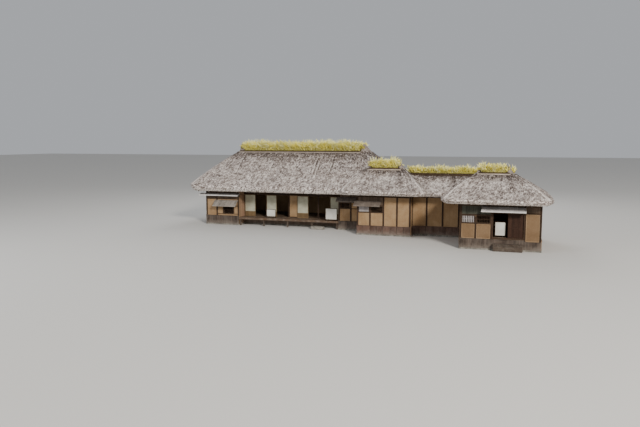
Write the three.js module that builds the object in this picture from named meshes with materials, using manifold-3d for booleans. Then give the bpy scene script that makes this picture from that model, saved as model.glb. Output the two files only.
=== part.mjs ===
// A thatched farmhouse: one long main house with a veranda, a projecting wing,
// a lower link and a room that stands forward at the right, all under one joined
// thatch. Millimetres, +Z up, the fronts face -Y.
// While it is laid out, X runs from the left corner post of the wing and Y from
// the front face of the main house; the finished group is then centred.
import * as THREE from 'three';
import { mergeVertices } from 'three/addons/utils/BufferGeometryUtils.js';
import { ConvexGeometry } from 'three/addons/geometries/ConvexGeometry.js';
import Module from 'manifold-3d';

const wasm = await Module();
wasm.setup();

// Plan module: half a bay, post centre to post centre.
const bay = 970;
const gap = 0.3;

// Main house
const mainLeft = -13.5 * bay;
const sideLeft = -10.5 * bay;
const sideRight = -2 * bay;
const mainRight = 1.5 * bay;
const mainBack = 5 * bay;
const verandaWall = bay;

// Wing, link and right room
const rangeFront = -2 * bay;
const linkFront = -bay;
const wingRight = 4 * bay;
const roomLeft = 7570;
const roomRight = roomLeft + 5 * bay;
const roomFront = -5600;

// Heights
const footingTop = 100;
const dadoTop = 700;
const windowSill = 1660;
const windowHead = 2070;
const beamLow = 2720;
const beamTall = 130;
const lintelLow = 2400;
const floorTop = 650;
const roomFloorTop = 780;
const floorThick = 60;
const deckTop = 640;
const wallTop = 4400;

// Sections
const post = 120;
const wallThick = 120;
const plasterBack = 30;
const timberDeep = 60;
const dadoProud = 25;
const leafThick = 30;

// Thatch. edge is the outline of the upper eave edge, ridge the flat strip on top.
// The eave is cut to a rounded nose, and the slopes are a little full halfway up.
const undercut = 300;
const noseIn = 70;
const noseDown = 0.55;
const lip = 60;
const stripHalf = 320;
const belly = 80;
const hipCorner = 170;
const roofs = {
  main: {
    edge: [-14250, 2650, -1180, 6030], edgeZ: 3270, drop: 520, corner: 1050,
    ridge: [-11050, 0, 2425, 5900], inner: 520, turf: 920,
    collar: 560, collarLong: [420, 820], collarLean: [50, 460],
  },
  wing: {
    edge: [-1170, 5050, -3130, 1190], edgeZ: 3220, drop: 305, corner: 850,
    ridge: [620, 3230, -970, 4780], inner: 470, turf: 780,
    collar: 400, collarLong: [240, 430], collarLean: [50, 260],
  },
  link: {
    edge: [2600, 12950, -2160, 1190], edgeZ: 3170, drop: 320, corner: 800,
    ridge: [3500, 10700, -485, 4430], inner: 430, turf: 580,
    collar: 0, collarLong: [0, 0], collarLean: [0, 0],
  },
  room: {
    edge: [6400, 13050, -6800, -1800], edgeZ: 3210, drop: 320, corner: 900,
    ridge: [8480, 10640, -4300, 4740], inner: 470, turf: 680,
    collar: 400, collarLong: [240, 380], collarLean: [50, 200],
  },
};

// Colours and finishes
const look = {
  thatch: [0x8d827b, 0.96], turf: [0x9aa04a, 0.95], plaster: [0x9c7a54, 0.92],
  timber: [0x3d2a1e, 0.8], dado: [0x5e463b, 0.85], board: [0x7b746b, 0.88],
  red: [0x7a4a33, 0.82], paper: [0x8f948a, 0.9], stone: [0x8b877f, 0.93],
  floor: [0x6a5848, 0.75], face: [0xd8d4c8, 0.85],
};

const house = new THREE.Group();
house.name = 'farmhouse';
const foot = footingTop + gap;

// Solids

function solid(geometry) {
  let g = geometry.index ? geometry.toNonIndexed() : geometry.clone();
  g.deleteAttribute('normal');
  g.deleteAttribute('uv');
  g = mergeVertices(g, 1e-3);
  const mesh = new wasm.Mesh({
    numProp: 3,
    vertProperties: new Float32Array(g.attributes.position.array),
    triVerts: new Uint32Array(g.index.array),
  });
  return new wasm.Manifold(mesh);
}

function box(x0, x1, y0, y1, z0, z1) {
  const g = new THREE.BoxGeometry(x1 - x0, y1 - y0, z1 - z0);
  g.translate((x0 + x1) / 2, (y0 + y1) / 2, (z0 + z1) / 2);
  return solid(g);
}

function join(list) {
  return list.reduce((a, b) => a.add(b));
}

function hull(points) {
  return solid(new ConvexGeometry(points.map((p) => new THREE.Vector3(...p))));
}

function largest(body) {
  const parts = body.decompose();
  return parts.reduce((a, b) => (b.volume() > a.volume() ? b : a));
}

function put(name, body, finish) {
  const data = body.getMesh();
  const g = new THREE.BufferGeometry();
  g.setAttribute('position', new THREE.BufferAttribute(new Float32Array(data.vertProperties), 3));
  g.setIndex(new THREE.BufferAttribute(new Uint32Array(data.triVerts), 1));
  g.computeVertexNormals();
  const [color, roughness] = look[finish];
  const mesh = new THREE.Mesh(g, new THREE.MeshStandardMaterial({ color, roughness, metalness: 0 }));
  mesh.name = name;
  house.add(mesh);
}

// Walls are laid out along u, with v running inward from the outer face.
function onWall(wall, u0, u1, v0, v1, z0, z1) {
  if (wall.side === 'front') return box(u0, u1, wall.at + v0, wall.at + v1, z0, z1);
  if (wall.side === 'back') return box(u0, u1, wall.at - v1, wall.at - v0, z0, z1);
  if (wall.side === 'left') return box(wall.at + v0, wall.at + v1, u0, u1, z0, z1);
  return box(wall.at - v1, wall.at - v0, u0, u1, z0, z1);
}

// Thatch shells

function outline([x0, x1, y0, y1], inset, radius, z) {
  const r = Math.max(radius - inset, 60);
  const points = [];
  const centres = [
    [x1 - inset - r, y1 - inset - r, 0], [x0 + inset + r, y1 - inset - r, 1],
    [x0 + inset + r, y0 + inset + r, 2], [x1 - inset - r, y0 + inset + r, 3],
  ];
  for (const [cx, cy, quarter] of centres) {
    for (let i = 0; i <= 5; i += 1) {
      const a = (quarter + i / 5) * Math.PI / 2;
      points.push([cx + r * Math.cos(a), cy + r * Math.sin(a), z]);
    }
  }
  return points;
}

function thatchOuter(roof, grow) {
  const [rx0, rx1, ry, rz] = roof.ridge;
  const strip = [rx0, rx1, ry - stripHalf, ry + stripHalf];
  const halfway = roof.edge.map((value, i) => (value + strip[i]) / 2);
  const points = [
    ...outline(roof.edge, undercut - grow, roof.corner, roof.edgeZ - roof.drop - grow),
    ...outline(roof.edge, noseIn - grow, roof.corner, roof.edgeZ - noseDown * roof.drop),
    ...outline(roof.edge, -grow, roof.corner, roof.edgeZ),
    ...outline(halfway, -belly - grow, hipCorner, (roof.edgeZ + rz) / 2),
  ];
  for (const x of [rx0 - grow, rx1 + grow]) {
    for (const y of [ry - stripHalf - grow, ry + stripHalf + grow]) points.push([x, y, rz + grow]);
  }
  return hull(points);
}

function thatchInner(roof, shrink) {
  const [rx0, rx1, ry, rz] = roof.ridge;
  const low = roof.edgeZ - roof.drop;
  const inset = undercut + lip + shrink;
  const points = [
    ...outline(roof.edge, inset, roof.corner, low - 400),
    ...outline(roof.edge, inset, roof.corner, low),
    [rx0, ry, rz - roof.inner - shrink], [rx1, ry, rz - roof.inner - shrink],
  ];
  return hull(points);
}

// The raised end of the thatch at each end of a planted ridge, its top leaning inward.
function collar(roof, end) {
  const [rx0, rx1, ry, rz] = roof.ridge;
  const x = end < 0 ? rx0 : rx1;
  const long = roof.collarLong[end < 0 ? 0 : 1];
  const lean = roof.collarLean[end < 0 ? 0 : 1];
  const s = stripHalf;
  const points = [];
  for (const y of [ry - s, ry + s]) {
    points.push([x, y, rz - 40], [x - end * long, y, rz - 40], [x + end * 60, y, rz - 160]);
  }
  for (const y of [ry - 120, ry + 120]) {
    points.push([x - end * lean, y, rz + roof.collar]);
    points.push([x - end * (lean + long) / 2, y, rz + roof.collar - 60]);
  }
  return hull(points);
}

// Two bundles of poles hold the planted ridge, one down each side.
function ridgePoles(roof) {
  const [rx0, rx1, ry, rz] = roof.ridge;
  const length = rx1 - rx0 - 200;
  const poles = [];
  for (const side of [-1, 1]) {
    const g = new THREE.CylinderGeometry(55, 55, length, 8);
    g.rotateZ(Math.PI / 2);
    g.translate((rx0 + rx1) / 2, ry + side * (stripHalf + 40), rz - 35);
    poles.push(solid(g));
  }
  return join(poles);
}

const order = ['main', 'wing', 'link', 'room'];
const voids = join(order.map((key) => thatchInner(roofs[key], 0)));
const shells = {};
order.forEach((key, index) => {
  const roof = roofs[key];
  let body = thatchOuter(roof, 0);
  if (roof.collar) body = body.add(collar(roof, -1)).add(collar(roof, 1));
  body = body.add(ridgePoles(roof));
  for (const earlier of order.slice(0, index)) body = body.subtract(thatchOuter(roofs[earlier], gap));
  shells[key] = largest(body.subtract(voids));
  put(`${key}_thatch`, shells[key], 'thatch');
});

// Planted turf between the raised ends: an uneven mound, its foot cut to the thatch.
function turfMound(roof) {
  const [rx0, rx1, ry, rz] = roof.ridge;
  const from = rx0 + 60;
  const steps = Math.round((rx1 - rx0 - 120) / 640);
  const pieces = [];
  const section = (i) => {
    const x = from + (rx1 - 60 - from) * i / steps;
    const tall = roof.turf + 75 * Math.sin(2.3 * i + 0.7);
    const list = [];
    for (const side of [-1, 1]) {
      list.push([x, ry + side * (stripHalf - 20), rz + gap]);
      list.push([x, ry + side * (stripHalf + 15), rz + 0.4 * tall]);
      list.push([x, ry + side * 0.7 * stripHalf, rz + 0.8 * tall]);
      list.push([x, ry + side * 0.3 * stripHalf, rz + tall]);
    }
    return list;
  };
  for (let i = 0; i < steps; i += 1) pieces.push(hull([...section(i), ...section(i + 1)]));
  return join(pieces);
}

for (const key of order) {
  const roof = roofs[key];
  const [rx0, rx1, ry, rz] = roof.ridge;
  let bed = turfMound(roof);
  for (const other of order) bed = bed.subtract(thatchOuter(roofs[other], gap));
  for (const i of roof.collar ? [0, 1] : []) {
    const reach = roof.collarLong[i] + 10;
    const x = [rx0, rx1][i];
    bed = bed.subtract(box(x - reach, x + reach, ry - 900, ry + 900, rz - 500, rz + 1200));
  }
  put(`${key}_ridge_turf`, largest(bed), 'turf');
}

// What stands below the thatch is trimmed to its underside.
const lowestThatch = Math.min(...order.map((key) => roofs[key].edgeZ - roofs[key].drop));
const belowThatch = join([
  box(-20000, 20000, -12000, 12000, -100, lowestThatch - 10),
  ...order.map((key) => thatchInner(roofs[key], gap)),
]);

function underThatch(body) {
  return largest(body.intersect(belowThatch));
}

// Walls

function timber(wall, grow) {
  const g = grow;
  const parts = [];
  const add = (u0, u1, v0, v1, z0, z1) => {
    parts.push(onWall(wall, u0 - g, u1 + g, v0 - g, v1 + g, z0 - g, z1 + g));
  };
  for (const [centre, from, to, wide] of wall.posts) {
    const half = (wide || post) / 2;
    const u = Math.min(Math.max(centre, wall.from + half), wall.to - half);
    add(u - half, u + half, 0, timberDeep, from, to);
  }
  for (const [u0, u1, z0, z1] of wall.rails) add(u0, u1, 0, timberDeep, z0, z1);
  for (const [u0, u1, top] of wall.dado) add(u0, u1, -dadoProud, timberDeep, footingTop + gap, top);
  return join(parts);
}

function holes(wall) {
  return wall.windows.map(([u0, u1, z0, z1]) => onWall(wall, u0, u1, -200, 400, z0, z1));
}

// A wall whose timber and plaster are separate solids.
function framedWall(name, wall) {
  let frame = timber(wall, 0);
  for (const hole of holes(wall)) frame = frame.subtract(hole);
  put(`${name}_timber`, underThatch(frame), 'timber');
  const grown = timber(wall, gap);
  let slab = onWall(wall, wall.from, wall.to, plasterBack, wallThick, foot, wall.top).subtract(grown);
  for (const hole of holes(wall)) slab = slab.subtract(hole);
  put(`${name}_plaster`, underThatch(slab), 'plaster');
}

// A front wall in one piece; below a doorway only the timber stays, for the threshold behind it.
function joinedWall(name, wall) {
  let body = onWall(wall, wall.from, wall.to, plasterBack, wallThick, foot, wall.top).add(timber(wall, 0));
  for (const hole of holes(wall)) body = body.subtract(hole);
  if (wall.doorway) {
    const [u0, u1, z0, z1] = wall.doorway;
    body = body.subtract(onWall(wall, u0, u1, -200, 400, z0, z1));
    body = body.subtract(onWall(wall, u0, u1, timberDeep, 400, -10, z1 + 10));
  }
  put(name, underThatch(body), 'plaster');
}

// Plain walls that turn a corner together: plaster, posts and boarded foot in one.
function plainWalls(name, walls) {
  const parts = [];
  for (const { side, at, from, to, posts } of walls) {
    const wall = {
      side, at, from, to, posts, windows: [],
      rails: [[from, to, beamLow, beamLow + beamTall]], dado: [[from, to, dadoTop]],
    };
    parts.push(onWall(wall, from, to, plasterBack, wallThick, foot, wallTop), timber(wall, 0));
  }
  put(name, underThatch(join(parts)), 'plaster');
}

function evenPosts(from, to, step, low, high) {
  const count = Math.max(1, Math.round((to - from) / step));
  const list = [];
  for (let i = 0; i <= count; i += 1) list.push([from + (to - from) * i / count, low, high]);
  return list;
}

joinedWall('main_left_front', {
  side: 'front', at: 0, from: mainLeft, to: sideLeft, top: wallTop,
  posts: [
    [mainLeft, foot, wallTop], [mainLeft + bay, foot, wallTop], [sideLeft, foot, wallTop],
    [mainLeft + bay * 1.56, 900, 1560, 70], [mainLeft + bay * 2.52, 900, 1560, 70],
  ],
  rails: [
    [mainLeft, sideLeft, beamLow, beamLow + beamTall],
    [mainLeft, sideLeft, 2050, 2140],
    [mainLeft + bay, sideLeft, 1500, 1560], [mainLeft + bay, sideLeft, 850, 900],
  ],
  dado: [[mainLeft, sideLeft, 760]],
  windows: [[mainLeft + bay * 1.6, mainLeft + bay * 2.48, 900, 1500]],
});

joinedWall('main_right_front', {
  side: 'front', at: 0, from: sideRight, to: -gap, top: wallTop,
  posts: [[sideRight, foot, wallTop], [-bay, foot, wallTop], [0, foot, wallTop]],
  rails: [
    [sideRight, -gap, beamLow, beamLow + beamTall],
    [sideRight, -gap, windowHead, windowHead + 70], [sideRight, -gap, windowSill - 60, windowSill],
  ],
  dado: [[sideRight, -gap, dadoTop]],
  windows: [[sideRight + post, -bay - 60, windowSill, windowHead]],
});

framedWall('wing_front', {
  side: 'front', at: rangeFront, from: 0, to: wingRight, top: wallTop,
  posts: [
    [0, foot, wallTop], [bay, foot, windowHead], [2 * bay, foot, wallTop],
    [3 * bay, foot, wallTop], [4 * bay, foot, wallTop],
  ],
  rails: [
    [0, wingRight, beamLow, beamLow + beamTall],
    [0, 2 * bay, windowHead, windowHead + 90], [0, 2 * bay, windowSill - 60, windowSill],
  ],
  dado: [[0, wingRight, dadoTop]],
  windows: [
    [post, bay - 60, windowSill, windowHead], [bay + 60, 2 * bay - 60, windowSill, windowHead],
  ],
});

const doorLeft = roomLeft + 2 * bay;
const doorRight = roomLeft + 4 * bay;
joinedWall('room_front', {
  side: 'front', at: roomFront, from: roomLeft, to: roomRight, top: wallTop,
  posts: [
    [roomLeft, foot, wallTop], [roomLeft + bay, foot, windowHead], [doorLeft, foot, wallTop, 150],
    [doorRight, foot, wallTop], [roomRight, foot, wallTop],
  ],
  rails: [
    [roomLeft, roomRight, beamLow, beamLow + beamTall],
    [roomLeft, doorLeft, windowHead + 50, windowHead + 130],
    [roomLeft, doorLeft, windowSill - 60, windowSill],
    [doorLeft, doorRight, 2290, 2400],
    [doorRight, roomRight, 2290, 2380],
    [doorLeft, doorRight, roomFloorTop - 80, roomFloorTop],
  ],
  dado: [[roomLeft, doorLeft, dadoTop], [doorLeft, doorRight, dadoTop], [doorRight, roomRight, 620]],
  windows: [
    [roomLeft + post, roomLeft + bay - 60, windowSill, windowHead + 50],
    [roomLeft + bay + 60, doorLeft - 75, windowSill, windowHead + 50],
  ],
  doorway: [doorLeft + 75, doorRight - 60, roomFloorTop, 2290],
});

plainWalls('main_outer_walls', [
  {
    side: 'left', at: mainLeft, from: wallThick + gap, to: mainBack - 10,
    posts: evenPosts(bay, mainBack - bay, bay, foot, wallTop),
  },
  {
    side: 'right', at: mainRight, from: wallThick + gap, to: mainBack - 10,
    posts: evenPosts(bay, mainBack - bay, bay, foot, wallTop),
  },
  {
    side: 'back', at: mainBack, from: mainLeft, to: mainRight,
    posts: evenPosts(mainLeft, mainRight, 2 * bay, foot, wallTop),
  },
]);

plainWalls('wing_left_wall', [{
  side: 'left', at: 0, from: rangeFront + wallThick + gap, to: -dadoProud - gap,
  posts: [[rangeFront + bay, foot, wallTop]],
}]);

plainWalls('link_front_wall', [
  {
    side: 'right', at: wingRight, from: rangeFront + wallThick + gap, to: linkFront + wallThick,
    posts: [],
  },
  {
    side: 'front', at: linkFront, from: wingRight - 60, to: roomLeft + 20,
    posts: evenPosts(wingRight + bay, roomLeft - bay / 2, bay, foot, wallTop),
  },
  {
    side: 'left', at: roomLeft, from: roomFront + wallThick + gap, to: linkFront + wallThick,
    posts: evenPosts(roomFront + bay, linkFront - bay / 2, bay, foot, wallTop),
  },
]);

plainWalls('range_back_wall', [
  {
    side: 'back', at: 0, from: mainRight + dadoProud + gap, to: roomRight,
    posts: evenPosts(mainRight + bay, roomRight, 2 * bay, foot, wallTop),
  },
  {
    side: 'right', at: roomRight, from: roomFront + wallThick + gap, to: -10,
    posts: evenPosts(roomFront + bay, -bay, bay, foot, wallTop),
  },
]);

// Veranda

const sideWall = {
  left: [sideLeft - wallThick, sideLeft],
  right: [sideRight, sideRight + wallThick],
};
for (const [key, [x0, x1]] of Object.entries(sideWall)) {
  const body = box(x0, x1, wallThick + gap, verandaWall + 140, foot, wallTop);
  put(`veranda_${key}_side_boards`, underThatch(body), 'red');
}

// Sill, lintel and posts stand round two tracks; the bay in the middle is plastered.
const wallY0 = verandaWall;
const wallY1 = verandaWall + 140;
const trackFront = wallY0 + 6;
const trackRear = trackFront + leafThick + 6;
const postY0 = trackRear + leafThick + 6;
const frameLeft = sideLeft - wallThick;
const frameRight = sideRight + wallThick;
const insideLeft = sideLeft + gap;
const insideRight = sideRight - gap;
put('veranda_sill', box(insideLeft, insideRight, wallY0, wallY1, foot, floorTop), 'timber');
put('veranda_wall', underThatch(join([
  box(insideLeft, insideRight, wallY0, wallY1, lintelLow, lintelLow + 110),
  box(insideLeft, insideRight, wallY0 + plasterBack, wallY1, lintelLow + 60, wallTop),
])), 'timber');

function verandaPost(x) {
  return box(x - 55, x + 55, postY0, wallY1, floorTop + gap, lintelLow - gap);
}

const verandaPosts = { left: -8.5 * bay, middle: -4 * bay, right: -3 * bay };
for (const [key, x] of Object.entries(verandaPosts)) put(`veranda_post_${key}`, verandaPost(x), 'timber');
put('veranda_plastered_bay', join([
  verandaPost(-6.5 * bay), verandaPost(-5 * bay),
  box(-6.5 * bay, -5 * bay, postY0 + 12, wallY1, floorTop + gap, lintelLow - gap),
]), 'plaster');

const deck = [
  box(insideLeft, insideRight, 40, verandaWall - gap, deckTop - 40, deckTop),
  box(insideLeft, insideRight, -20, 60, deckTop - 150, deckTop),
];
for (let i = 0; i <= 4; i += 1) {
  const x = insideLeft + 110 + (insideRight - insideLeft - 220) * i / 4;
  deck.push(box(x - 50, x + 50, 0, 100, 0, deckTop - 20));
  deck.push(box(x - 40, x + 40, 20, verandaWall - 30, deckTop - 130, deckTop - 20));
}
put('veranda_deck', join(deck), 'floor');

const stone = [];
for (let i = 0; i <= 8; i += 1) {
  const a = Math.PI + i * Math.PI / 8;
  const wide = 585 + 25 * Math.sin(5 * a);
  stone.push([-3520 + wide * Math.cos(a), -gap - 180 + 340 * Math.sin(a), 0]);
  stone.push([-3520 + (wide - 45) * Math.cos(a), -gap - 180 + 300 * Math.sin(a), 225]);
}
for (const x of [-4100, -2950]) stone.push([x, -gap - 20, 0], [x + (x < -3520 ? 40 : -40), -gap, 215]);
put('veranda_step_stone', hull(stone), 'stone');

// Sliding leaves: papered ones on the veranda, board ones at the room's doorway.
function leaf(name, x0, wide, y0, z0, z1, finish) {
  const stile = 45;
  const y1 = y0 + leafThick;
  put(name, join([
    box(x0 + 10, x0 + wide - 10, y0 + 11, y1 - 9, z0 + 10, z1 - 10),
    box(x0, x0 + stile, y0, y1, z0, z1),
    box(x0 + wide - stile, x0 + wide, y0, y1, z0, z1),
    box(x0, x0 + wide, y0, y1, z0, z0 + 60),
    box(x0, x0 + wide, y0, y1, z1 - 50, z1),
    box(x0, x0 + wide, y0, y1, z0 + 560, z0 + 600),
  ]), finish);
}

const leafLow = floorTop + 5;
const leafHigh = lintelLow - 5;
const shojiSpots = [
  ['shoji_far_left', -10120, 930, trackRear], ['shoji_left', -8215, 870, trackFront],
  ['shoji_middle', -5600, 930, trackFront], ['shoji_right', -2895, 900, trackRear],
];
for (const [name, x, wide, y] of shojiSpots) leaf(name, x, wide, y, leafLow, leafHigh, 'paper');

const doorWide = 920;
const doorX = doorRight - 60 - 5 - doorWide;
const doorLow = roomFloorTop + 5;
leaf('room_door_front', doorX, doorWide, roomFront + 75, doorLow, 2285, 'timber');
leaf('room_door_rear', doorX - 5, doorWide, roomFront + 75 + leafThick + 6, doorLow, 2285, 'timber');

// Floors

function stubs(x0, x1, y0, y1, countX, countY, top) {
  const list = [];
  for (let i = 0; i < countX; i += 1) {
    for (let j = 0; j < countY; j += 1) {
      const x = x0 + (x1 - x0) * i / (countX - 1);
      const y = y0 + (y1 - y0) * j / Math.max(countY - 1, 1);
      list.push(box(x - 55, x + 55, y - 55, y + 55, 0, top));
    }
  }
  return list;
}

const inside = wallThick + gap;
const floorLow = floorTop - floorThick;
put('main_floor', join([
  box(mainLeft + inside, mainRight - inside, wallY1 + gap, mainBack - inside, floorLow, floorTop),
  box(mainLeft + inside, frameLeft - gap, inside, wallY1 + 50, floorLow, floorTop),
  box(frameRight + gap, mainRight - inside, inside, wallY1 + 50, floorLow, floorTop),
  ...stubs(mainLeft + 1500, mainRight - 1500, 2900, 2900, 4, 1, floorLow + 20),
]), 'floor');

put('room_floor', join([
  box(roomLeft + inside, roomRight - inside, roomFront + inside, -inside, roomFloorTop - 60, roomFloorTop),
  box(doorLeft + 75 + 1, doorRight - 61, roomFront + timberDeep + gap, roomFront + 200,
    roomFloorTop - 60, roomFloorTop),
  ...stubs(roomLeft + 500, roomRight - 500, roomFront + 500, -500, 2, 3, roomFloorTop - 40),
]), 'floor');

// Two boards on cheeks in front of the room's doorway.
const stepBack = roomFront - 35 - gap;
put('room_step', join([
  box(doorLeft + 90, doorRight - 80, stepBack - 420, stepBack, 400, 440),
  box(doorLeft + 110, doorRight - 100, stepBack - 400, stepBack - 370, 0, 410),
  box(doorLeft + 110, doorLeft + 150, stepBack - 400, stepBack, 0, 410),
  box(doorRight - 140, doorRight - 100, stepBack - 400, stepBack, 0, 410),
]), 'floor');

// Stone footing under every wall

const footingLines = [
  ['front', 0, mainLeft, sideLeft], ['front', 0, sideRight, 0],
  ['right', sideLeft, 0, verandaWall + 140], ['left', sideRight, 0, verandaWall + 140],
  ['left', 0, rangeFront, 0], ['front', rangeFront, 0, wingRight],
  ['right', wingRight, rangeFront, linkFront], ['front', linkFront, wingRight - 60, roomLeft + 100],
  ['left', roomLeft, roomFront, linkFront], ['front', roomFront, roomLeft, roomRight],
  ['right', roomRight, roomFront, 0], ['back', 0, mainRight - 100, roomRight],
  ['right', mainRight, 0, mainBack], ['back', mainBack, mainLeft, mainRight],
  ['left', mainLeft, 0, mainBack],
];
put('stone_footing', join(footingLines.map(([side, at, from, to]) => (
  onWall({ side, at }, from, to, -35, wallThick + 15, 0, footingTop)
))), 'stone');
put('veranda_footing', box(
  sideLeft + 35 + gap, sideRight - 35 - gap, wallY0 - 35, wallY1 + 15, 0, footingTop,
), 'stone');

// Small board roofs over the windows

// A sloping sheet of boards, lapped battens on top and triangular brackets below.
function pentRoof(name, x0, x1, y, zWall, reach, drop, brackets) {
  const back = y - gap;
  const front = y - reach;
  const sheet = [];
  for (const x of [x0, x1]) {
    sheet.push([x, back, zWall], [x, back, zWall - 28]);
    sheet.push([x, front, zWall - drop], [x, front, zWall - drop - 28]);
  }
  const parts = [hull(sheet), box(x0, x1, front - 12, front + 14, zWall - drop - 60, zWall - drop + 6)];
  for (let i = 0; i < brackets; i += 1) {
    const x = x0 + 90 + (x1 - x0 - 180) * i / (brackets - 1);
    const arm = [];
    for (const e of [x - 22, x + 22]) {
      arm.push([e, back, zWall - 10], [e, back, zWall - drop - 60]);
      arm.push([e, front + 10, zWall - drop - 10], [e, front + 10, zWall - drop - 50]);
    }
    parts.push(hull(arm));
  }
  for (let x = x0 + 8; x < x1; x += (x1 - x0 - 46) / Math.round((x1 - x0) / 480)) {
    const batten = [];
    for (const e of [x, x + 30]) {
      batten.push([e, back, zWall - 4], [e, back, zWall + 18]);
      batten.push([e, front, zWall - drop - 4], [e, front, zWall - drop + 18]);
    }
    parts.push(hull(batten));
  }
  put(name, join(parts), 'board');
}

pentRoof('main_left_upper_pent', -13490, -10080, 0, 2520, 450, 110, 5);
pentRoof('main_left_window_pent', -12290, -10270, 0, 2000, 500, 430, 3);
pentRoof('main_right_pent', -2040, -540, 0, 2500, 400, 290, 3);
pentRoof('wing_pent', -150, 1780, rangeFront, 2470, 450, 310, 3);
pentRoof('room_pent', 8880, 11500, roomFront, 2700, 520, 230, 4);

// Framed standing screens with bare faces

function screen(name, x0, x1, y, z0, z1) {
  const rail = 40;
  const parts = [
    box(x0 + 10, x1 - 10, y + 10, y + 24, z0 + 90, z1 - 10),
    box(x0, x0 + rail, y, y + 36, z0, z1), box(x1 - rail, x1, y, y + 36, z0, z1),
    box(x0, x1, y, y + 36, z1 - rail, z1), box(x0, x1, y, y + 36, z0 + 70, z0 + 70 + rail),
    box(x0, x0 + rail, y - 110, y + 146, z0, z0 + 40), box(x1 - rail, x1, y - 110, y + 146, z0, z0 + 40),
  ];
  put(name, join(parts), 'face');
}

screen('veranda_screen_left', -8060, -7270, 560, deckTop + gap, 1310);
screen('veranda_screen_right', -3010, -2080, 130, deckTop + gap, 1600);
screen('doorway_screen', 9680, 10340, -5230, roomFloorTop + gap, 1740);

// The house is centred over its footprint.
const bounds = new THREE.Box3().setFromObject(house);
house.position.set(-(bounds.min.x + bounds.max.x) / 2, -(bounds.min.y + bounds.max.y) / 2, 0);
house.updateMatrixWorld(true);
export default house;
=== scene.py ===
import math
import bmesh
import bpy
import numpy as np
from mathutils import Matrix, Vector
from mathutils.bvhtree import BVHTree


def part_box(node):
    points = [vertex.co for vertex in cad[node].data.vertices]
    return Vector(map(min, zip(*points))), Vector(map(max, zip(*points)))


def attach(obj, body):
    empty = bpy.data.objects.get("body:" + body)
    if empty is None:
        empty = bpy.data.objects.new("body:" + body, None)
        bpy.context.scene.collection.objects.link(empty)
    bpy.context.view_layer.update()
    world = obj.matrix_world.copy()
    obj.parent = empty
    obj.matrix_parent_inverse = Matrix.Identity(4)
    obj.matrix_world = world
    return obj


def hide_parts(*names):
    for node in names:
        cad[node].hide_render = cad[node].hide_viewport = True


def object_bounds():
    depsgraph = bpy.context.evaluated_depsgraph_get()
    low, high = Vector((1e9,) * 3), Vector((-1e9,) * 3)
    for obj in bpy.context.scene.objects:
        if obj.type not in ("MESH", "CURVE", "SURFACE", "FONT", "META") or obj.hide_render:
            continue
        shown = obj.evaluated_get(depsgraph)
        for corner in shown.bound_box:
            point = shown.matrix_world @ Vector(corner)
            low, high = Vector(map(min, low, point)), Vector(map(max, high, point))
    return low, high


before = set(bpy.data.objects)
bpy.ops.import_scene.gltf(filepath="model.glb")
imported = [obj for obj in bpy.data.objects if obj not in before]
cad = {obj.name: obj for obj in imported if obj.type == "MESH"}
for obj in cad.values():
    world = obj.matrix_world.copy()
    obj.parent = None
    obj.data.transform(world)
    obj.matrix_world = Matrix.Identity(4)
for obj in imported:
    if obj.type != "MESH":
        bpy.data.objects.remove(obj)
cadLow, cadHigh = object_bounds()
chance = np.random.default_rng(27)
print("frame loaded with", len(cad), "solids")

# Plan of the farmhouse in metres, measured from the wing's left corner and the main front.
bay = 0.97
mainL, mainR, mainBack = -13.5 * bay, 1.5 * bay, 5 * bay
sideL, sideR, verandaWall = -10.5 * bay, -2 * bay, bay
rangeFront, wingR, linkFront = -2 * bay, 4 * bay, -bay
roomL, roomR, roomFace = 7.57, 7.57 + 5 * bay, -5.6
doorL, doorR = roomL + 2 * bay, roomL + 4 * bay
foot, dado, sill, head = 0.1003, 0.7, 1.66, 2.07
beam, beamTall, roomFloor, postWide = 2.72, 0.13, 0.78, 0.12
shift = np.array([0.6, 0.385, 0.0])  # from the plan's corner to the middle of the footprint

# Camera and light
cameraSpot = {"place": (11.687, -44.41, 6.734), "pitch": 6.723, "turn": 17.916, "lens": 34.89}
cameraData = bpy.data.cameras.new("view_camera")
cameraData.lens = cameraSpot["lens"]
cameraData.sensor_width = 36.0
cameraData.clip_end = 400.0
camera = bpy.data.objects.new("view_camera", cameraData)
camera.location = cameraSpot["place"]
camera.rotation_euler = (math.radians(90 - cameraSpot["pitch"]), 0, math.radians(cameraSpot["turn"]))
bpy.context.scene.collection.objects.link(camera)
bpy.context.scene.camera = camera

studio = {
    "key": {"place": (50, -67, 43), "size": 17, "power": 80000, "tint": (1.0, 0.965, 0.91)},
    "fill": {"place": (-26, -28, 16), "size": 22, "power": 3600, "tint": (0.9, 0.94, 1.0)},
    "rear": {"place": (-4, 26, 22), "size": 20, "power": 4200, "tint": (0.95, 0.97, 1.0)},
    "sky": (0.87, 0.9, 0.95), "skyStrength": 0.5,
}


def aimedLight(name, spot):
    data = bpy.data.lights.new(name, "AREA")
    data.shape = "DISK"
    data.size = spot["size"]
    data.energy = spot["power"]
    data.color = spot["tint"]
    lamp = bpy.data.objects.new(name, data)
    lamp.location = spot["place"]
    lamp.rotation_euler = (Vector((0, 0, 2)) - lamp.location).to_track_quat("-Z", "Y").to_euler()
    bpy.context.scene.collection.objects.link(lamp)


for key in ("key", "fill", "rear"):
    aimedLight("studio_" + key, studio[key])
world = bpy.data.worlds.new("studio_world")
world.use_nodes = True
world.node_tree.nodes["Background"].inputs["Color"].default_value = (*studio["sky"], 1)
world.node_tree.nodes["Background"].inputs["Strength"].default_value = studio["skyStrength"]
bpy.context.scene.world = world
print("camera and light set")


# Shader trees are built with a few short helpers. A colour is given as text, and a node is made
# in the tree that its inputs come from.
def paint(text):
    parts = [int(text[i:i + 2], 16) / 255 for i in (1, 3, 5)]
    return tuple(c / 12.92 if c <= 0.04045 else ((c + 0.055) / 1.055) ** 2.4 for c in parts) + (1.0,)


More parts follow.
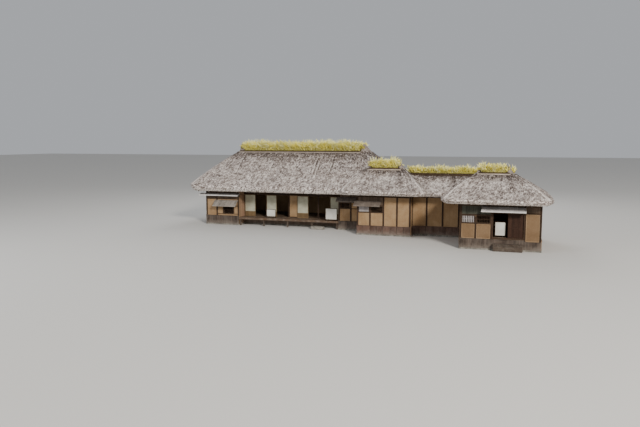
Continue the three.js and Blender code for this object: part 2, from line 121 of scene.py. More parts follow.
def addNode(kind, inputs, **settings):
    tree = next(value.id_data for value in inputs.values() if isinstance(value, bpy.types.NodeSocket))
    made = tree.nodes.new("ShaderNode" + kind)
    for key, value in settings.items():
        setattr(made, key, value)
    for key, value in inputs.items():
        if isinstance(value, bpy.types.NodeSocket):
            tree.links.new(value, made.inputs[key])
        else:
            made.inputs[key].default_value = paint(value) if isinstance(value, str) else value
    return made.outputs


def useGroup(group, inputs):
    return addNode("Group", inputs, node_tree=group)


def calc(operation, first, second=0.0, third=0.0, clamp=False):
    return addNode("Math", {0: first, 1: second, 2: third}, operation=operation, use_clamp=clamp)[0]


def times(first, second):
    return calc("MULTIPLY", first, second)


def mixIn(first, share, second, clamp=False):
    return calc("MULTIPLY_ADD", first, share, second, clamp)


def stretch(vector, scale):
    return addNode("VectorMath", {0: vector, 1: scale}, operation="MULTIPLY")[0]


def scaled(vector, scale):
    return addNode("VectorMath", {0: vector, "Scale": scale}, operation="SCALE")[0]


# Noise of one size, or of three when the scale is a row of numbers.
def noise(vector, scale, detail=3.0, rough=0.55, distortion=0.0):
    if isinstance(scale, tuple):
        vector, scale = stretch(vector, scale), 1.0
    return addNode("TexNoise", {"Vector": vector, "Scale": scale, "Detail": detail,
                                "Roughness": rough, "Distortion": distortion})[0]


def ramp(value, low, high, outLow=0.0, outHigh=1.0):
    ends = {"Value": value, "From Min": low, "From Max": high, "To Min": outLow, "To Max": outHigh}
    return addNode("MapRange", ends, interpolation_type="SMOOTHSTEP")[0]


def blendColour(mask, first, second, mode="MIX"):
    return addNode("Mix", {0: mask, 6: first, 7: second}, data_type="RGBA", blend_type=mode)[2]


# Colours laid one over the other, each through its own mask.
def coats(colour, *layers):
    for mask, over in layers:
        colour = blendColour(mask, colour, over)
    return colour


# A shared group: an input without a value is a vector, and build gives the outputs by name.
def makeGroup(name, inputs, build):
    tree = bpy.data.node_groups.new(name, "ShaderNodeTree")
    for label, value in inputs.items():
        kind = "NodeSocketVector" if value is None else "NodeSocketFloat"
        socket = tree.interface.new_socket(label, in_out="INPUT", socket_type=kind)
        if value is not None:
            socket.default_value = value
    made = build(tree.nodes.new("NodeGroupInput").outputs)
    for label in made:
        tree.interface.new_socket(label, in_out="OUTPUT", socket_type="NodeSocketFloat")
    end = tree.nodes.new("NodeGroupOutput").inputs
    for label, value in made.items():
        tree.links.new(value, end[label])
    return tree


# Fibres and broad figure along a piece of timber; x of Grain runs along it.
def grainParts(start):
    fibre = noise(start["Grain"], (2.6, 90, 90), 5.0, 0.62, 0.3)
    broad = scaled(start["Grain"], start["Figure Size"])
    figure = noise(broad, (0.9, 13, 13), 3.0, 0.5, 0.9)
    rings = mixIn(calc("SINE", times(figure, 26.0)), 0.5, 0.5)
    return {
        "Fibre": ramp(fibre, 0.28, 0.74),
        "Figure": mixIn(rings, 0.45, times(figure, 0.55)),
        "Height": mixIn(fibre, 0.7, times(rings, 0.3)),
    }


# Blotches, rain streaks and splashed dirt at the foot, from the place on the house.
def weatherParts(start):
    spread = scaled(start["Place"], start["Spread"])
    blotch = noise(spread, 1.7, 5.0, 0.6, 0.4)
    streak = noise(spread, (9, 9, 0.55), 4.0, 0.6)
    high = addNode("SeparateXYZ", {0: start["Place"]})[2]
    rise = calc("DIVIDE", high, start["Foot Height"])
    foot = calc("SUBTRACT", mixIn(noise(start["Place"], 5.5, 4.0, 0.65), 1.1, 0.45), rise)
    return {"Blotch": ramp(blotch, 0.36, 0.66), "Streak": ramp(streak, 0.44, 0.7),
            "Foot": ramp(foot, 0.0, 0.85)}


# Rubbed arrises: the chamfered edges of a board, broken up by a fine noise.
def wearParts(start):
    broken = ramp(noise(start["Place"], 14.0, 4.0, 0.6), 0.4, 0.62)
    spots = ramp(noise(start["Place"], 46.0, 3.0, 0.6), 0.6, 0.72, 0.0, 0.35)
    mask = calc("MAXIMUM", times(start["Edge"], broken), spots)
    return {"Mask": calc("MULTIPLY", mask, start["Amount"], clamp=True)}


# Straw laid down a slope; x of Lay runs across the strands and y down them.
def strawParts(start):
    lay = start["Lay"]
    strand = noise(lay, (75, 5, 1), 4.0, 0.65, 0.4)
    tuft = noise(lay, (15, 16, 1), 2.0, 0.55, 0.3)
    # darker spots in the hollows between the tufts: painted shade
    hollow = noise(lay, (13, 19, 7), 2.0, 0.55, 0.4)
    streak = noise(lay, (4.2, 0.42, 1), 4.0, 0.62)
    patch = noise(lay, (0.62, 0.85, 1), 4.0, 0.55, 0.6)
    return {
        "Strand": ramp(strand, 0.3, 0.7), "Tuft": ramp(tuft, 0.5, 0.64),
        "HollowShade": ramp(hollow, 0.5, 0.66), "Streak": ramp(streak, 0.4, 0.66),
        "Patch": ramp(patch, 0.36, 0.66), "Height": mixIn(strand, 0.6, times(tuft, 0.9)),
    }


# Pale settled dust in small clouds.
def dustParts(start):
    clouds = ramp(noise(start["Place"], 3.2, 6.0, 0.7, 0.5), 0.42, 0.74)
    return {"Mask": times(clouds, start["Amount"])}


grainGroup = makeGroup("timber_grain", {"Grain": None, "Figure Size": 1.0}, grainParts)
weatherGroup = makeGroup("weathering", {"Place": None, "Spread": 1.0, "Foot Height": 0.8}, weatherParts)
wearGroup = makeGroup("edge_wear", {"Edge": 0.0, "Place": None, "Amount": 0.6}, wearParts)
strawGroup = makeGroup("laid_straw", {"Lay": None}, strawParts)
dustGroup = makeGroup("settled_dust", {"Place": None, "Amount": 0.4}, dustParts)


def startMaterial(name, roughness, specular):
    made = bpy.data.materials.new(name)
    made.use_nodes = True
    tree = made.node_tree
    shader = tree.nodes["Principled BSDF"].inputs
    shader["Roughness"].default_value = roughness
    shader["Specular IOR Level"].default_value = specular
    return tree.nodes.new("ShaderNodeTexCoord").outputs["Object"]


def finishMaterial(colour, rough, height, strength, distance):
    bump = addNode("Bump", {"Height": height, "Strength": strength, "Distance": distance})[0]
    tree = colour.id_data
    for key, value in (("Base Color", colour), ("Roughness", rough), ("Normal", bump)):
        tree.links.new(value, tree.nodes["Principled BSDF"].inputs[key])


def attribute(place, name, kind="Fac"):
    made = place.id_data.nodes.new("ShaderNodeAttribute")
    made.attribute_name = name
    return made.outputs[kind]


# Timber of any finish: dark, body, light, worn and stain colours, and how strongly each effect shows.
timberUsual = {
    "specular": 0.2, "footHeight": 0.7, "wear": 0.5, "vary": 0.3, "stain": 0.3, "rain": 0.2,
    "splash": 0.25, "dust": 0.0, "smooth": 0.7,
}
timberLooks = {
    "darkTimber": ("#1c130d #3a2a1f #5a4535 #7d6753 #2a1f18", dict(rain=0.12, vary=0.25)),
    "bandBoards": ("#3b3028 #5d4c3e #7c6a59 #8d7a67 #4a4038", dict(wear=0.35, vary=0.25)),
    "greyGreenBoards": ("#2b2b25 #47473d #626154 #7a7868 #33322b", dict(wear=0.35, vary=0.22)),
    "dadoBoards": ("#33241d #5b4337 #7d6355 #8f7a6c #6d5c54", dict(
        stain=0.5, wear=0.4, rain=0.3, vary=0.28, splash=0.5, footHeight=0.42)),
    "agedDado": ("#261c16 #41332a #75685d #8c7e71 #62584f", dict(
        stain=0.55, wear=0.4, rain=0.5, vary=0.4, splash=0.38, footHeight=0.45)),
    "tanBoards": ("#80624b #a68466 #bf9f82 #cbb094 #a5826a", dict(
        wear=0.35, rain=0.25, vary=0.14, splash=0.3, footHeight=0.5)),
    "pentBoards": ("#675f56 #8f867c #b3aaa0 #c6beb4 #5f5750", dict(
        stain=0.35, wear=0.4, rain=0.1, vary=0.18, dust=0.35, splash=0.0)),
    "brownPent": ("#4c423a #6b5f55 #8a7d72 #b3a79b #4f453d", dict(
        wear=0.4, rain=0.1, vary=0.18, dust=0.2, splash=0.0)),
    # lightened beyond the boards' own colour: painted sunlight on pents that lie in the shade of the eaves
    "palePent": ("#b6b0ac #e0dcd8 #f0edea #f2f0ee #97918b", dict(
        stain=0.28, wear=0.4, vary=0.12, dust=0.3, splash=0.0)),
    "deckBoards": ("#33241a #5b4433 #82684f #9c8266 #3b2c21", dict(
        wear=0.6, vary=0.2, dust=0.25, smooth=0.55, specular=0.35)),
    "stepBoards": ("#241a14 #43362c #645548 #85735f #31271f", dict(
        wear=0.6, vary=0.2, dust=0.15, splash=0.1)),
    "doorBoards": ("#1e1310 #38251a #54392a #7c5b47 #2e1e17", dict(wear=0.4, vary=0.25, rain=0.1)),
    "paleSlats": ("#857d7c #aaa2a0 #c8c1be #d4cdc9 #80776f", dict(wear=0.3, vary=0.12, splash=0.0)),
    "lattice": ("#4a3728 #77603f #9a825e #ab9470 #5a4633", dict(wear=0.3, vary=0.15, splash=0.0)),
    "bamboo": ("#85776a #b1a396 #cbbfb2 #d8cec2 #6f645a", dict(
        stain=0.45, wear=0.2, rain=0.0, vary=0.2, splash=0.0, smooth=0.5, specular=0.4)),
    "smokedPoles": ("#2a1f16 #4b3a2a #6d5942 #7d6a52 #241b14", dict(wear=0.2, splash=0.0)),
}


def timberMaterial(name, colours, changes):
    dark, body, light, worn, stain = colours.split()
    look = {**timberUsual, **changes}
    place = startMaterial(name, 0.82, look["specular"])
    fibres = useGroup(grainGroup, {"Grain": attribute(place, "grain", "Vector")})
    weather = useGroup(weatherGroup, {"Place": place, "Foot Height": look["footHeight"]})
    rubbed = {"Edge": attribute(place, "wear"), "Place": place, "Amount": look["wear"]}
    colour = coats(dark, (fibres["Fibre"], body), (times(fibres["Figure"], 0.35), light))
    shade = ramp(attribute(place, "tone"), 0.0, 1.0, 1.0 - look["vary"], 1.0 + look["vary"])
    grey = addNode("CombineColor", {0: shade, 1: shade, 2: shade})[0]
    colour = coats(blendColour(1.0, colour, grey, "MULTIPLY"),
                   (times(weather["Blotch"], look["stain"]), stain),
                   (times(weather["Streak"], look["rain"]), light),
                   (useGroup(wearGroup, rubbed)["Mask"], worn),
                   (times(weather["Foot"], look["splash"]), "#8f8478"))
    if look["dust"]:
        dust = useGroup(dustGroup, {"Place": place, "Amount": look["dust"]})
        colour = blendColour(dust["Mask"], colour, "#b8b0a4")
    rough = ramp(fibres["Fibre"], 0.0, 1.0, 0.92, look["smooth"])
    finishMaterial(colour, rough, fibres["Height"], 0.55, 0.004)


for name, (colours, changes) in timberLooks.items():
    timberMaterial(name, colours, changes)


# Earth plaster: chopped straw, clouds of tone, hairline cracks and rain streaks.
def plasterMaterial(name, body, light, dark, strawTint, stain):
    place = startMaterial(name, 0.93, 0.15)
    weather = useGroup(weatherGroup, {"Place": place, "Spread": 0.9, "Foot Height": 1.1})
    clouds = noise(place, 1.1, 5.0, 0.6, 0.3)
    sand = noise(place, 160.0, 3.0, 0.7)
    chopped = noise(place, (22, 22, 70), 2.0, 0.5, 1.2)
    cells = addNode("TexVoronoi", {"Vector": place, "Scale": 2.3}, feature="DISTANCE_TO_EDGE")
    cracked = times(ramp(cells["Distance"], 0.0, 0.012, 0.55, 0.0), ramp(clouds, 0.5, 0.62))
    colour = coats(body, (ramp(clouds, 0.34, 0.66), light),
                   (ramp(sand, 0.3, 0.75, 0.0, 0.28), dark),
                   (ramp(chopped, 0.63, 0.72, 0.0, 0.5), strawTint),
                   (times(weather["Streak"], 0.16), dark),
                   (times(weather["Blotch"], 0.18), stain), (cracked, dark))
    height = calc("SUBTRACT", mixIn(chopped, 0.5, times(sand, 0.5)), cracked)
    finishMaterial(colour, ramp(sand, 0.3, 0.7, 0.88, 0.98), height, 0.35, 0.003)


plasterMaterial("ochrePlaster", "#967856", "#aa8d6a", "#745b45", "#cdb794", "#8d7256")
# A darker copy of the ochre plaster for the room's front: painted shade of its eaves and of the trees before
# it.
plasterMaterial("shadedRoomPlaster", "#715940", "#82694f", "#5f4a35", "#b9a482", "#7e664c")
plasterMaterial("plasterEdge", "#9c7f5c", "#ac9070", "#7c644a", "#bfa988", "#9c8569")


# A colour picked from a row of stops by a value from 0 to 1.
def gradeColour(value, stops):
    grade = addNode("ValToRGB", {"Fac": value})[0]
    band = grade.node.color_ramp
    while len(band.elements) < len(stops):
        band.elements.new(0.5)
    for element, (spot, colour) in zip(band.elements, stops):
        element.position = spot
        element.color = paint(colour)
    return grade


strawStops = [(0.0, "#4a403a"), (0.25, "#7a6f69"), (0.55, "#ab9f99"), (0.8, "#d2c8c0"), (1.0, "#f2ebe3")]
# the dark low end colours blades in the thin spots between clumps: painted shade in the gaps
bladeStops = [(0.0, "#7d8030"), (0.22, "#d0c050"), (0.45, "#ffee60"), (0.72, "#fff88c"), (1.0, "#fffcc8")]


# Weathered thatch: grey straw in tufts, its tone laid out with the coat and broken up by strands.
def thatchMaterial():
    place = startMaterial("weatheredThatch", 0.95, 0.12)
    straw = useGroup(strawGroup, {"Lay": attribute(place, "lay", "Vector")})
    value = calc("SUBTRACT", attribute(place, "tone"), 0.14)
    # the hollows between tufts are darkened as painted shade
    for key, share in (("Strand", 0.26), ("Tuft", 0.2), ("HollowShade", -0.22), ("Streak", -0.06)):
        value = mixIn(straw[key], share, value, clamp=key == "Streak")
    colour = coats(gradeColour(value, strawStops), (times(straw["Patch"], 0.22), "#b09f90"))
    rough = ramp(straw["Strand"], 0.0, 1.0, 0.98, 0.86)
    finishMaterial(colour, rough, straw["Height"], 0.8, 0.011)


# Loose straws and plant blades carry their own tone; a blade's root has the colour rootTint.
def strawMaterial(name, stops, roughness, rootTint=None):
    place = startMaterial(name, roughness, 0.2)
    mottle = noise(place, 30.0, 3.0, 0.6)
    colour = coats(gradeColour(attribute(place, "tone"), stops),
                   (ramp(mottle, 0.35, 0.75, 0.0, 0.35), stops[0][1]))
    if rootTint:
        colour = coats(colour, (ramp(attribute(place, "reach"), 0.0, 1.0, 0.5, 0.0), rootTint))
    rough = ramp(mottle, 0.3, 0.7, roughness, roughness - 0.15)
    finishMaterial(colour, rough, mottle, 0.2, 0.002)


# Root-bound turf under the plants.
def turfMaterial():
    place = startMaterial("ridgeTurf", 0.95, 0.1)
    clumps = noise(place, 9.0, 5.0, 0.65, 0.6)
    roots = noise(place, (60, 60, 25), 4.0, 0.65, 1.0)
    colour = coats("#8c8644", (ramp(clumps, 0.35, 0.65), "#b8ad58"),
                   (ramp(roots, 0.5, 0.7, 0.0, 0.7), "#d2c484"))
    height = calc("ADD", clumps, roots)
    finishMaterial(colour, ramp(roots, 0.3, 0.7, 0.98, 0.85), height, 0.8, 0.03)


# Rough grey stone with lichen spots and, on the footing, mortar joints.
def stoneMaterial(name, joints):
    place = startMaterial(name, 0.92, 0.2)
    body = noise(place, 3.5, 6.0, 0.6, 0.3)
    grit = noise(place, 95.0, 3.0, 0.7)
    lichen = ramp(noise(place, 12.0, 4.0, 0.65), 0.6, 0.7, 0.0, 0.55)
    colour = coats("#6f6a62", (ramp(body, 0.35, 0.68), "#a19b90"),
                   (ramp(grit, 0.35, 0.7, 0.0, 0.4), "#524d47"), (lichen, "#b6b39c"))
    height = calc("ADD", body, times(grit, 0.4))
    if joints:
        shifted = addNode("VectorMath", {0: place, 1: (0.05, 0.05, 0)}, operation="ADD")[0]
        parts = addNode("SeparateXYZ", {0: shifted})
        saw = calc("FRACT", calc("DIVIDE", calc("ADD", parts[0], parts[1]), 0.62))
        gap = ramp(calc("ABSOLUTE", calc("SUBTRACT", saw, 0.5)), 0.478, 0.492)
        colour = coats(colour, (gap, "#4a453f"))
        height = calc("SUBTRACT", height, gap)
    finishMaterial(colour, ramp(grit, 0.3, 0.7, 0.86, 0.97), height, 0.6, 0.012)


# Hand-made paper: fibres, slight yellowing and soft clouds.
def paperMaterial(name, body, deep):
    place = startMaterial(name, 0.9, 0.2)
    fibre = noise(place, (55, 55, 90), 4.0, 0.7, 1.5)
    cloud = noise(place, 2.4, 4.0, 0.55)
    colour = coats(body, (ramp(cloud, 0.35, 0.7), deep),
                   (ramp(fibre, 0.58, 0.72, 0.0, 0.35), "#d9d8cb"))
    finishMaterial(colour, ramp(fibre, 0.3, 0.7, 0.85, 0.95), fibre, 0.15, 0.001)


# Floor boards on the solids that stay: board joints every hand's length across.
def plankMaterial():
    place = startMaterial("floorPlanks", 0.7, 0.3)
    row = calc("DIVIDE", addNode("SeparateXYZ", {0: place})[1], 0.24)
    which = addNode("TexWhiteNoise", {"W": calc("FLOOR", row)}, noise_dimensions="1D")["Value"]
    away = calc("ABSOLUTE", calc("SUBTRACT", calc("FRACT", row), 0.5))
    joint = ramp(away, 0.475, 0.492)
    lift = addNode("CombineXYZ", {0: times(which, 9.0), 1: 0.0, 2: which})[0]
    grain = addNode("VectorMath", {0: place, 1: lift}, operation="ADD")[0]
    fibres = useGroup(grainGroup, {"Grain": grain, "Figure Size": 0.8})
    dust = useGroup(dustGroup, {"Place": place, "Amount": 0.25})
    colour = coats("#3b2b20", (fibres["Fibre"], "#65503e"), (times(which, 0.4), "#7e6853"),
                   (joint, "#1e1610"), (dust["Mask"], "#a39a8c"))
    height = calc("SUBTRACT", fibres["Height"], joint)
    finishMaterial(colour, ramp(fibres["Fibre"], 0.0, 1.0, 0.8, 0.55), height, 0.5, 0.004)


thatchMaterial()
strawMaterial("looseStraw", strawStops, 0.9)
strawMaterial("ridgePlantBlades", bladeStops, 0.75, "#e8da70")
turfMaterial()
stoneMaterial("footingStone", True)
stoneMaterial("stepStone", False)
# the shoji paper is greyed and greened: painted shade under the veranda roof
paperMaterial("shadedShojiPaper", "#bcb9a2", "#aaa58f")
paperMaterial("screenFace", "#dedbd1", "#d0ccc0")
plankMaterial()
print("materials made")


# Faces wound so that they look away from the middle
def facingOut(verts, faces):
    turned = []
    for face in faces:
        p = verts[list(face)]
        inward = np.dot(np.cross(p[1] - p[0], p[2] - p[0]), p.mean(0) - verts.mean(0)) < 0
        turned.append(face[::-1] if inward else face)
    return turned


# Four-sided faces of a tube of rows, from the lowest ring up
def gridFaces(rows, around):
    low = np.arange(rows)[:, None] * around
    i = np.arange(around)
    j = (i + 1) % around
    return np.stack([low + i, low + j, low + around + j, low + around + i], -1).reshape(-1, 4).tolist()


# A chamfered unit block: three vertices at each corner, one on each of the faces that meet there.
def blockShape():
    corners = [(x, y, z) for x in (-1, 1) for y in (-1, 1) for z in (-1, 1)]
    index = {c: 3 * i for i, c in enumerate(corners)}
    faces, worn = [], []
    for axis in range(3):
        b, c = (axis + 1) % 3, (axis + 2) % 3
        for sign in (-1, 1):
            ring = []
            for sb, sc in ((-1, -1), (1, -1), (1, 1), (-1, 1)):
                spot = [0, 0, 0]
                spot[axis], spot[b], spot[c] = sign, sb, sc
                ring.append(index[tuple(spot)] + axis)
            faces.append(ring)
            worn.append(0.0)
        for sb in (-1, 1):
            for sc in (-1, 1):
                spot[b], spot[c] = sb, sc
                lo, hi = (index[tuple(sign if i == axis else spot[i] for i in range(3))] for sign in (-1, 1))
                faces.append([lo + b, hi + b, hi + c, lo + c])
                worn.append(1.0)
    for corner in corners:
        faces.append([index[corner], index[corner] + 1, index[corner] + 2])
        worn.append(1.0)
    signs = np.array([c for c in corners for axis in range(3)], float)
    inset = np.array([[0.0 if i == axis else 1.0 for i in range(3)] for c in corners for axis in range(3)])
    return signs, inset, facingOut(signs * (1 - 0.2 * inset), faces), worn


blockSigns, blockInset, blockFaces, blockWorn = blockShape()


# A stock gathers pieces of one material, to be made into one mesh.
def newStock():
    return {"verts": [], "faces": [], "grain": [], "tone": [], "wear": [], "count": 0}


def addShape(stock, verts, faces, grain, worn, tone):
    base = stock["count"]
    stock["verts"].append(verts)
    stock["faces"].extend([tuple(base + i for i in face) for face in faces])
    stock["grain"].append(grain + chance.uniform(-40, 40, 3))
    stock["tone"].append(np.full(len(verts), tone if tone is not None else chance.random()))
    stock["wear"].extend(worn)
    stock["count"] += len(verts)


# A chamfered piece of timber between two corners, or of a size set in place by a matrix.
def addBlock(stock, low, high, chamfer=0.005, tone=None, spin=None, along=None):
    low, high = np.asarray(low, float), np.asarray(high, float)
    low, high = np.minimum(low, high), np.maximum(low, high)
    half = (high - low) / 2
    chamfer = min(chamfer, half.min() * 0.45)
    local = blockSigns * (half - blockInset * chamfer)
    axis = int(np.argmax(half)) if along is None else along
    grain = local[:, [axis, (axis + 1) % 3, (axis + 2) % 3]]
    verts = local + (low + high) / 2
    if spin is not None:
        verts = verts @ np.array(spin.to_3x3()).T + np.array(spin.translation)
    addShape(stock, verts, blockFaces, grain, blockWorn, tone)


# A round pole from a to b; bamboo has a swollen ring at each joint.
def addPole(stock, a, b, radius, sides=10, joints=0.0, tone=None, taper=1.0):
    a, b = Vector(a), Vector(b)
    length = (b - a).length
    turn = (b - a).to_track_quat("Z", "Y").to_matrix()
    cuts = [(0.0, 1.0), (length, 1.0)]
    if joints:
        spot = joints * chance.uniform(0.3, 0.9)
        while spot < length - 0.03:
            cuts += [(spot - 0.012, 1.0), (spot, 1.1), (spot + 0.012, 1.0)]
            spot += joints * chance.uniform(0.85, 1.15)
    cuts.sort()
    verts, grain = [], []
    for z, swell in cuts:
        r = radius * swell * (1 + (taper - 1) * z / length)
        for angle in np.linspace(0, 2 * math.pi, sides, endpoint=False):
            x, y = r * math.cos(angle), r * math.sin(angle)
            verts.append(tuple(a + turn @ Vector((x, y, z))))
            grain.append((z, x, y))
    last = (len(cuts) - 1) * sides
    faces = gridFaces(len(cuts) - 1, sides)
    faces += [tuple(range(sides))[::-1], tuple(range(last, last + sides))]
    addShape(stock, np.array(verts), faces, np.array(grain), [0.0] * len(faces), tone)


# A solid with six sides from eight corners: four below and four above, in the same order.
def addWedge(stock, corners):
    verts = np.array(corners, float)
    faces = [(3, 2, 1, 0), (4, 5, 6, 7)] + [(i, (i + 1) % 4, (i + 1) % 4 + 4, i + 4) for i in range(4)]
    addShape(stock, verts, facingOut(verts, faces), verts - verts.mean(0), [0.0] * 6, None)


def makeMesh(name, verts, faces, **layers):
    mesh = bpy.data.meshes.new(name)
    mesh.from_pydata(verts.tolist(), [], faces)
    for key, values in layers.items():
        values = np.asarray(values, np.float32)
        kind, field = ("FLOAT", "value") if values.ndim == 1 else ("FLOAT_VECTOR", "vector")
        layer = mesh.attributes.new(key, kind, "FACE" if key == "wear" else "POINT")
        layer.data.foreach_set(field, values.ravel())
    made = bpy.data.objects.new(name, mesh)
    bpy.context.scene.collection.objects.link(made)
    return made


def settle(made, look, body="house", replaces=(), smooth=False):
    made.data.materials.append(bpy.data.materials[look])
    if smooth:
        made.data.polygons.foreach_set("use_smooth", [True] * len(made.data.polygons))
    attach(made, body)
    if replaces:
        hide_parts(*replaces)


def finishStock(name, stock, look="darkTimber", body="house", replaces=(), smooth=False):
    verts, grain, tone = (np.concatenate(stock[key]) for key in ("verts", "grain", "tone"))
    made = makeMesh(name, verts + shift, stock["faces"], grain=grain, tone=tone, wear=stock["wear"])
    settle(made, look, body, replaces, smooth)


# Underside of the thatch straight above a point of the plan, from the solids.
thatchTrees = []
for key in ("main", "wing", "link", "room"):
    mesh = cad[key + "_thatch"].data
    corners = [v.co for v in mesh.vertices]
    thatchTrees.append(BVHTree.FromPolygons(corners, [p.vertices for p in mesh.polygons]))


def underThatch(x, y):
    lowest = 3.9
    for tree in thatchTrees:
        hit = tree.ray_cast(Vector((x + shift[0], y + shift[1], 2.0)), Vector((0, 0, 1)))[0]
        if hit is not None:
            lowest = min(lowest, hit.z)
    return lowest - 0.004


# Thatch: rings of points run round each roof, from the ridge strip down to the cut eave.
roofs = {
    "main": {
        "edge": (-14.25, 2.65, -1.18, 6.03), "edgeZ": 3.27, "drop": 0.52, "corner": 1.05,
        "ridge": (-11.05, 0.0, 2.425, 5.9), "inner": 0.52, "turf": 0.92,
        "collar": 0.56, "collarLong": (0.42, 0.82), "collarLean": (0.05, 0.46),
        "poleEnds": (0.02, 0.76), "poleTone": 0.3, "straws": 82000, "blades": 430,
    },
    "wing": {
        "edge": (-1.17, 5.05, -3.13, 1.19), "edgeZ": 3.22, "drop": 0.305, "corner": 0.85,
        "ridge": (0.62, 3.23, -0.97, 4.78), "inner": 0.47, "turf": 0.78,
        "collar": 0.4, "collarLong": (0.24, 0.43), "collarLean": (0.05, 0.26),
        "poleEnds": (0.02, 0.18), "poleTone": 0.85, "straws": 28000, "blades": 330,
    },
    "link": {
        "edge": (2.6, 12.95, -2.16, 1.19), "edgeZ": 3.17, "drop": 0.32, "corner": 0.8,
        "ridge": (3.5, 10.7, -0.485, 4.43), "inner": 0.43, "turf": 0.58,
        "collar": 0.0, "collarLong": (0.0, 0.0), "collarLean": (0.0, 0.0),
        "poleEnds": (0.02, 0.02), "poleTone": 0.5, "straws": 32000, "blades": 360,
    },
    "room": {
        "edge": (6.4, 13.05, -6.8, -1.8), "edgeZ": 3.21, "drop": 0.32, "corner": 0.9,
        "ridge": (8.48, 10.64, -4.3, 4.74), "inner": 0.47, "turf": 0.68,
        "collar": 0.4, "collarLong": (0.24, 0.38), "collarLean": (0.05, 0.2),
        "poleEnds": (0.02, 0.14), "poleTone": 1.0, "straws": 32000, "blades": 290,
    },
}
thatchMake = {
    "undercut": 0.3, "noseCurve": 2.8, "noseRows": 8, "lip": 0.06, "stripHalf": 0.32,
    "belly": 0.08, "hipCorner": 0.17, "cell": 0.075, "sag": 0.04, "dimple": 0.01, "tuft": 0.015,
    "groove": 0.01, "skin": 0.062, "strawLong": (0.07, 0.19), "strawWide": (0.009, 0.02),
    "lift": (0.004, 0.026), "fringe": 0.03, "endsPerMetre": 460,
    "furrows": (-10.35, -7.6, -4.02, -3.72, -2.75), "furrowWide": 0.044, "furrowDeep": 0.022,
}
facesFront = -0.4  # below this, the y part of a direction looks to the front
# How strongly each cause makes the straw paler or darker
toneMake = {
    "base": 0.58, "tuft": 0.9, "patch": 0.1, "layer": 0.3, "streak": 0.12, "upperStreak": 0.6,
    "dampAndShade": 0.54, "foot": 0.05, "cutEndsAndHighlight": 0.5, "valley": 0.6, "valleyReach": 0.13, "hip": 1.0,
    "washedPale": 0.5, "washedDark": 0.55, "speckle": 0.75, "hollow": 0.25, "ridgeEnd": 0.34,
}
lattice = np.random.default_rng(5).random((256, 256))


def ripple(u, v):
    iu, iv = np.floor(u).astype(int), np.floor(v).astype(int)
    fu, fv = u - iu, v - iv
    fu, fv = fu * fu * (3 - 2 * fu), fv * fv * (3 - 2 * fv)
    a, b = lattice[iu % 256, iv % 256], lattice[(iu + 1) % 256, iv % 256]
    c, d = lattice[iu % 256, (iv + 1) % 256], lattice[(iu + 1) % 256, (iv + 1) % 256]
    return (a * (1 - fu) + b * fu) * (1 - fv) + (c * (1 - fu) + d * fu) * fv


def unit(vectors):
    return vectors / (np.linalg.norm(vectors, axis=-1, keepdims=True) + 1e-9)


# A rounded rectangle at one height; every ring with the same counts lines up with the others.
def ringOf(rect, radius, z, counts):
    x0, x1, y0, y1 = rect
    nx, ny, na = counts
    r = radius
    sides = [((x0 + r, y0), (x1 - r, y0), nx), ((x1, y0 + r), (x1, y1 - r), ny),
             ((x1 - r, y1), (x0 + r, y1), nx), ((x0, y1 - r), (x0, y0 + r), ny)]
    centres = [(x1 - r, y0 + r, -90), (x1 - r, y1 - r, 0), (x0 + r, y1 - r, 90), (x0 + r, y0 + r, 180)]
    points = []
    for (a, b, n), (cx, cy, start) in zip(sides, centres):
        t = np.linspace(0, 1, n, endpoint=False)[:, None]
        points.append(np.array(a) * (1 - t) + np.array(b) * t)
        angles = np.radians(start + np.linspace(0, 90, na, endpoint=False))
        points.append(np.stack([cx + r * np.cos(angles), cy + r * np.sin(angles)], 1))
    flat = np.concatenate(points)
    return np.column_stack([flat, np.full(len(flat), z)])


def insetRect(rect, inset):
    return (rect[0] + inset, rect[1] - inset, rect[2] + inset, rect[3] - inset)


# A ring of the rounded nose, a share of the way down from the edge to the cut.
def noseRing(roof, share, counts):
    inset = thatchMake["undercut"] * share ** thatchMake["noseCurve"]
    z = roof["edgeZ"] - roof["drop"] * share
    return ringOf(insetRect(roof["edge"], inset), roof["corner"] - inset, z, counts)


def thatchRings(roof, counts):
    m = thatchMake
    x0, x1, y, z = roof["ridge"]
    strip = (x0, x1, y - m["stripHalf"], y + m["stripHalf"])
    halfway = [(a + b) / 2 for a, b in zip(roof["edge"], strip)]
    inner = m["undercut"] + m["lip"]
    low = roof["edgeZ"] - roof["drop"]
    return {
        "top": ringOf(strip, 0.03, z, counts),
        "belly": ringOf(insetRect(halfway, -m["belly"]), m["hipCorner"] + m["belly"],
                        (roof["edgeZ"] + z) / 2, counts),
        "edge": noseRing(roof, 0.0, counts),
        "nose": noseRing(roof, 0.55, counts),
        "low": noseRing(roof, 1.0, counts),
        "lip": ringOf(insetRect(roof["edge"], inner), roof["corner"] - inner, low, counts),
        "innerTop": ringOf((x0, x1, y, y), 0.0, z - roof["inner"], counts),
    }


# Planes that bound the outside and the hollow of each roof, to find what lies inside another.
def boundingPlanes(lower, upper):
    normals = np.cross(np.roll(lower, -1, 0) - lower, upper - lower)
    size = np.linalg.norm(normals, axis=1)
    real = size > 1e-6
    normals = normals[real] / size[real, None]
    return normals, (normals * lower[real]).sum(1)


def joinPlanes(parts):
    return [np.concatenate(part) for part in zip(*parts)]


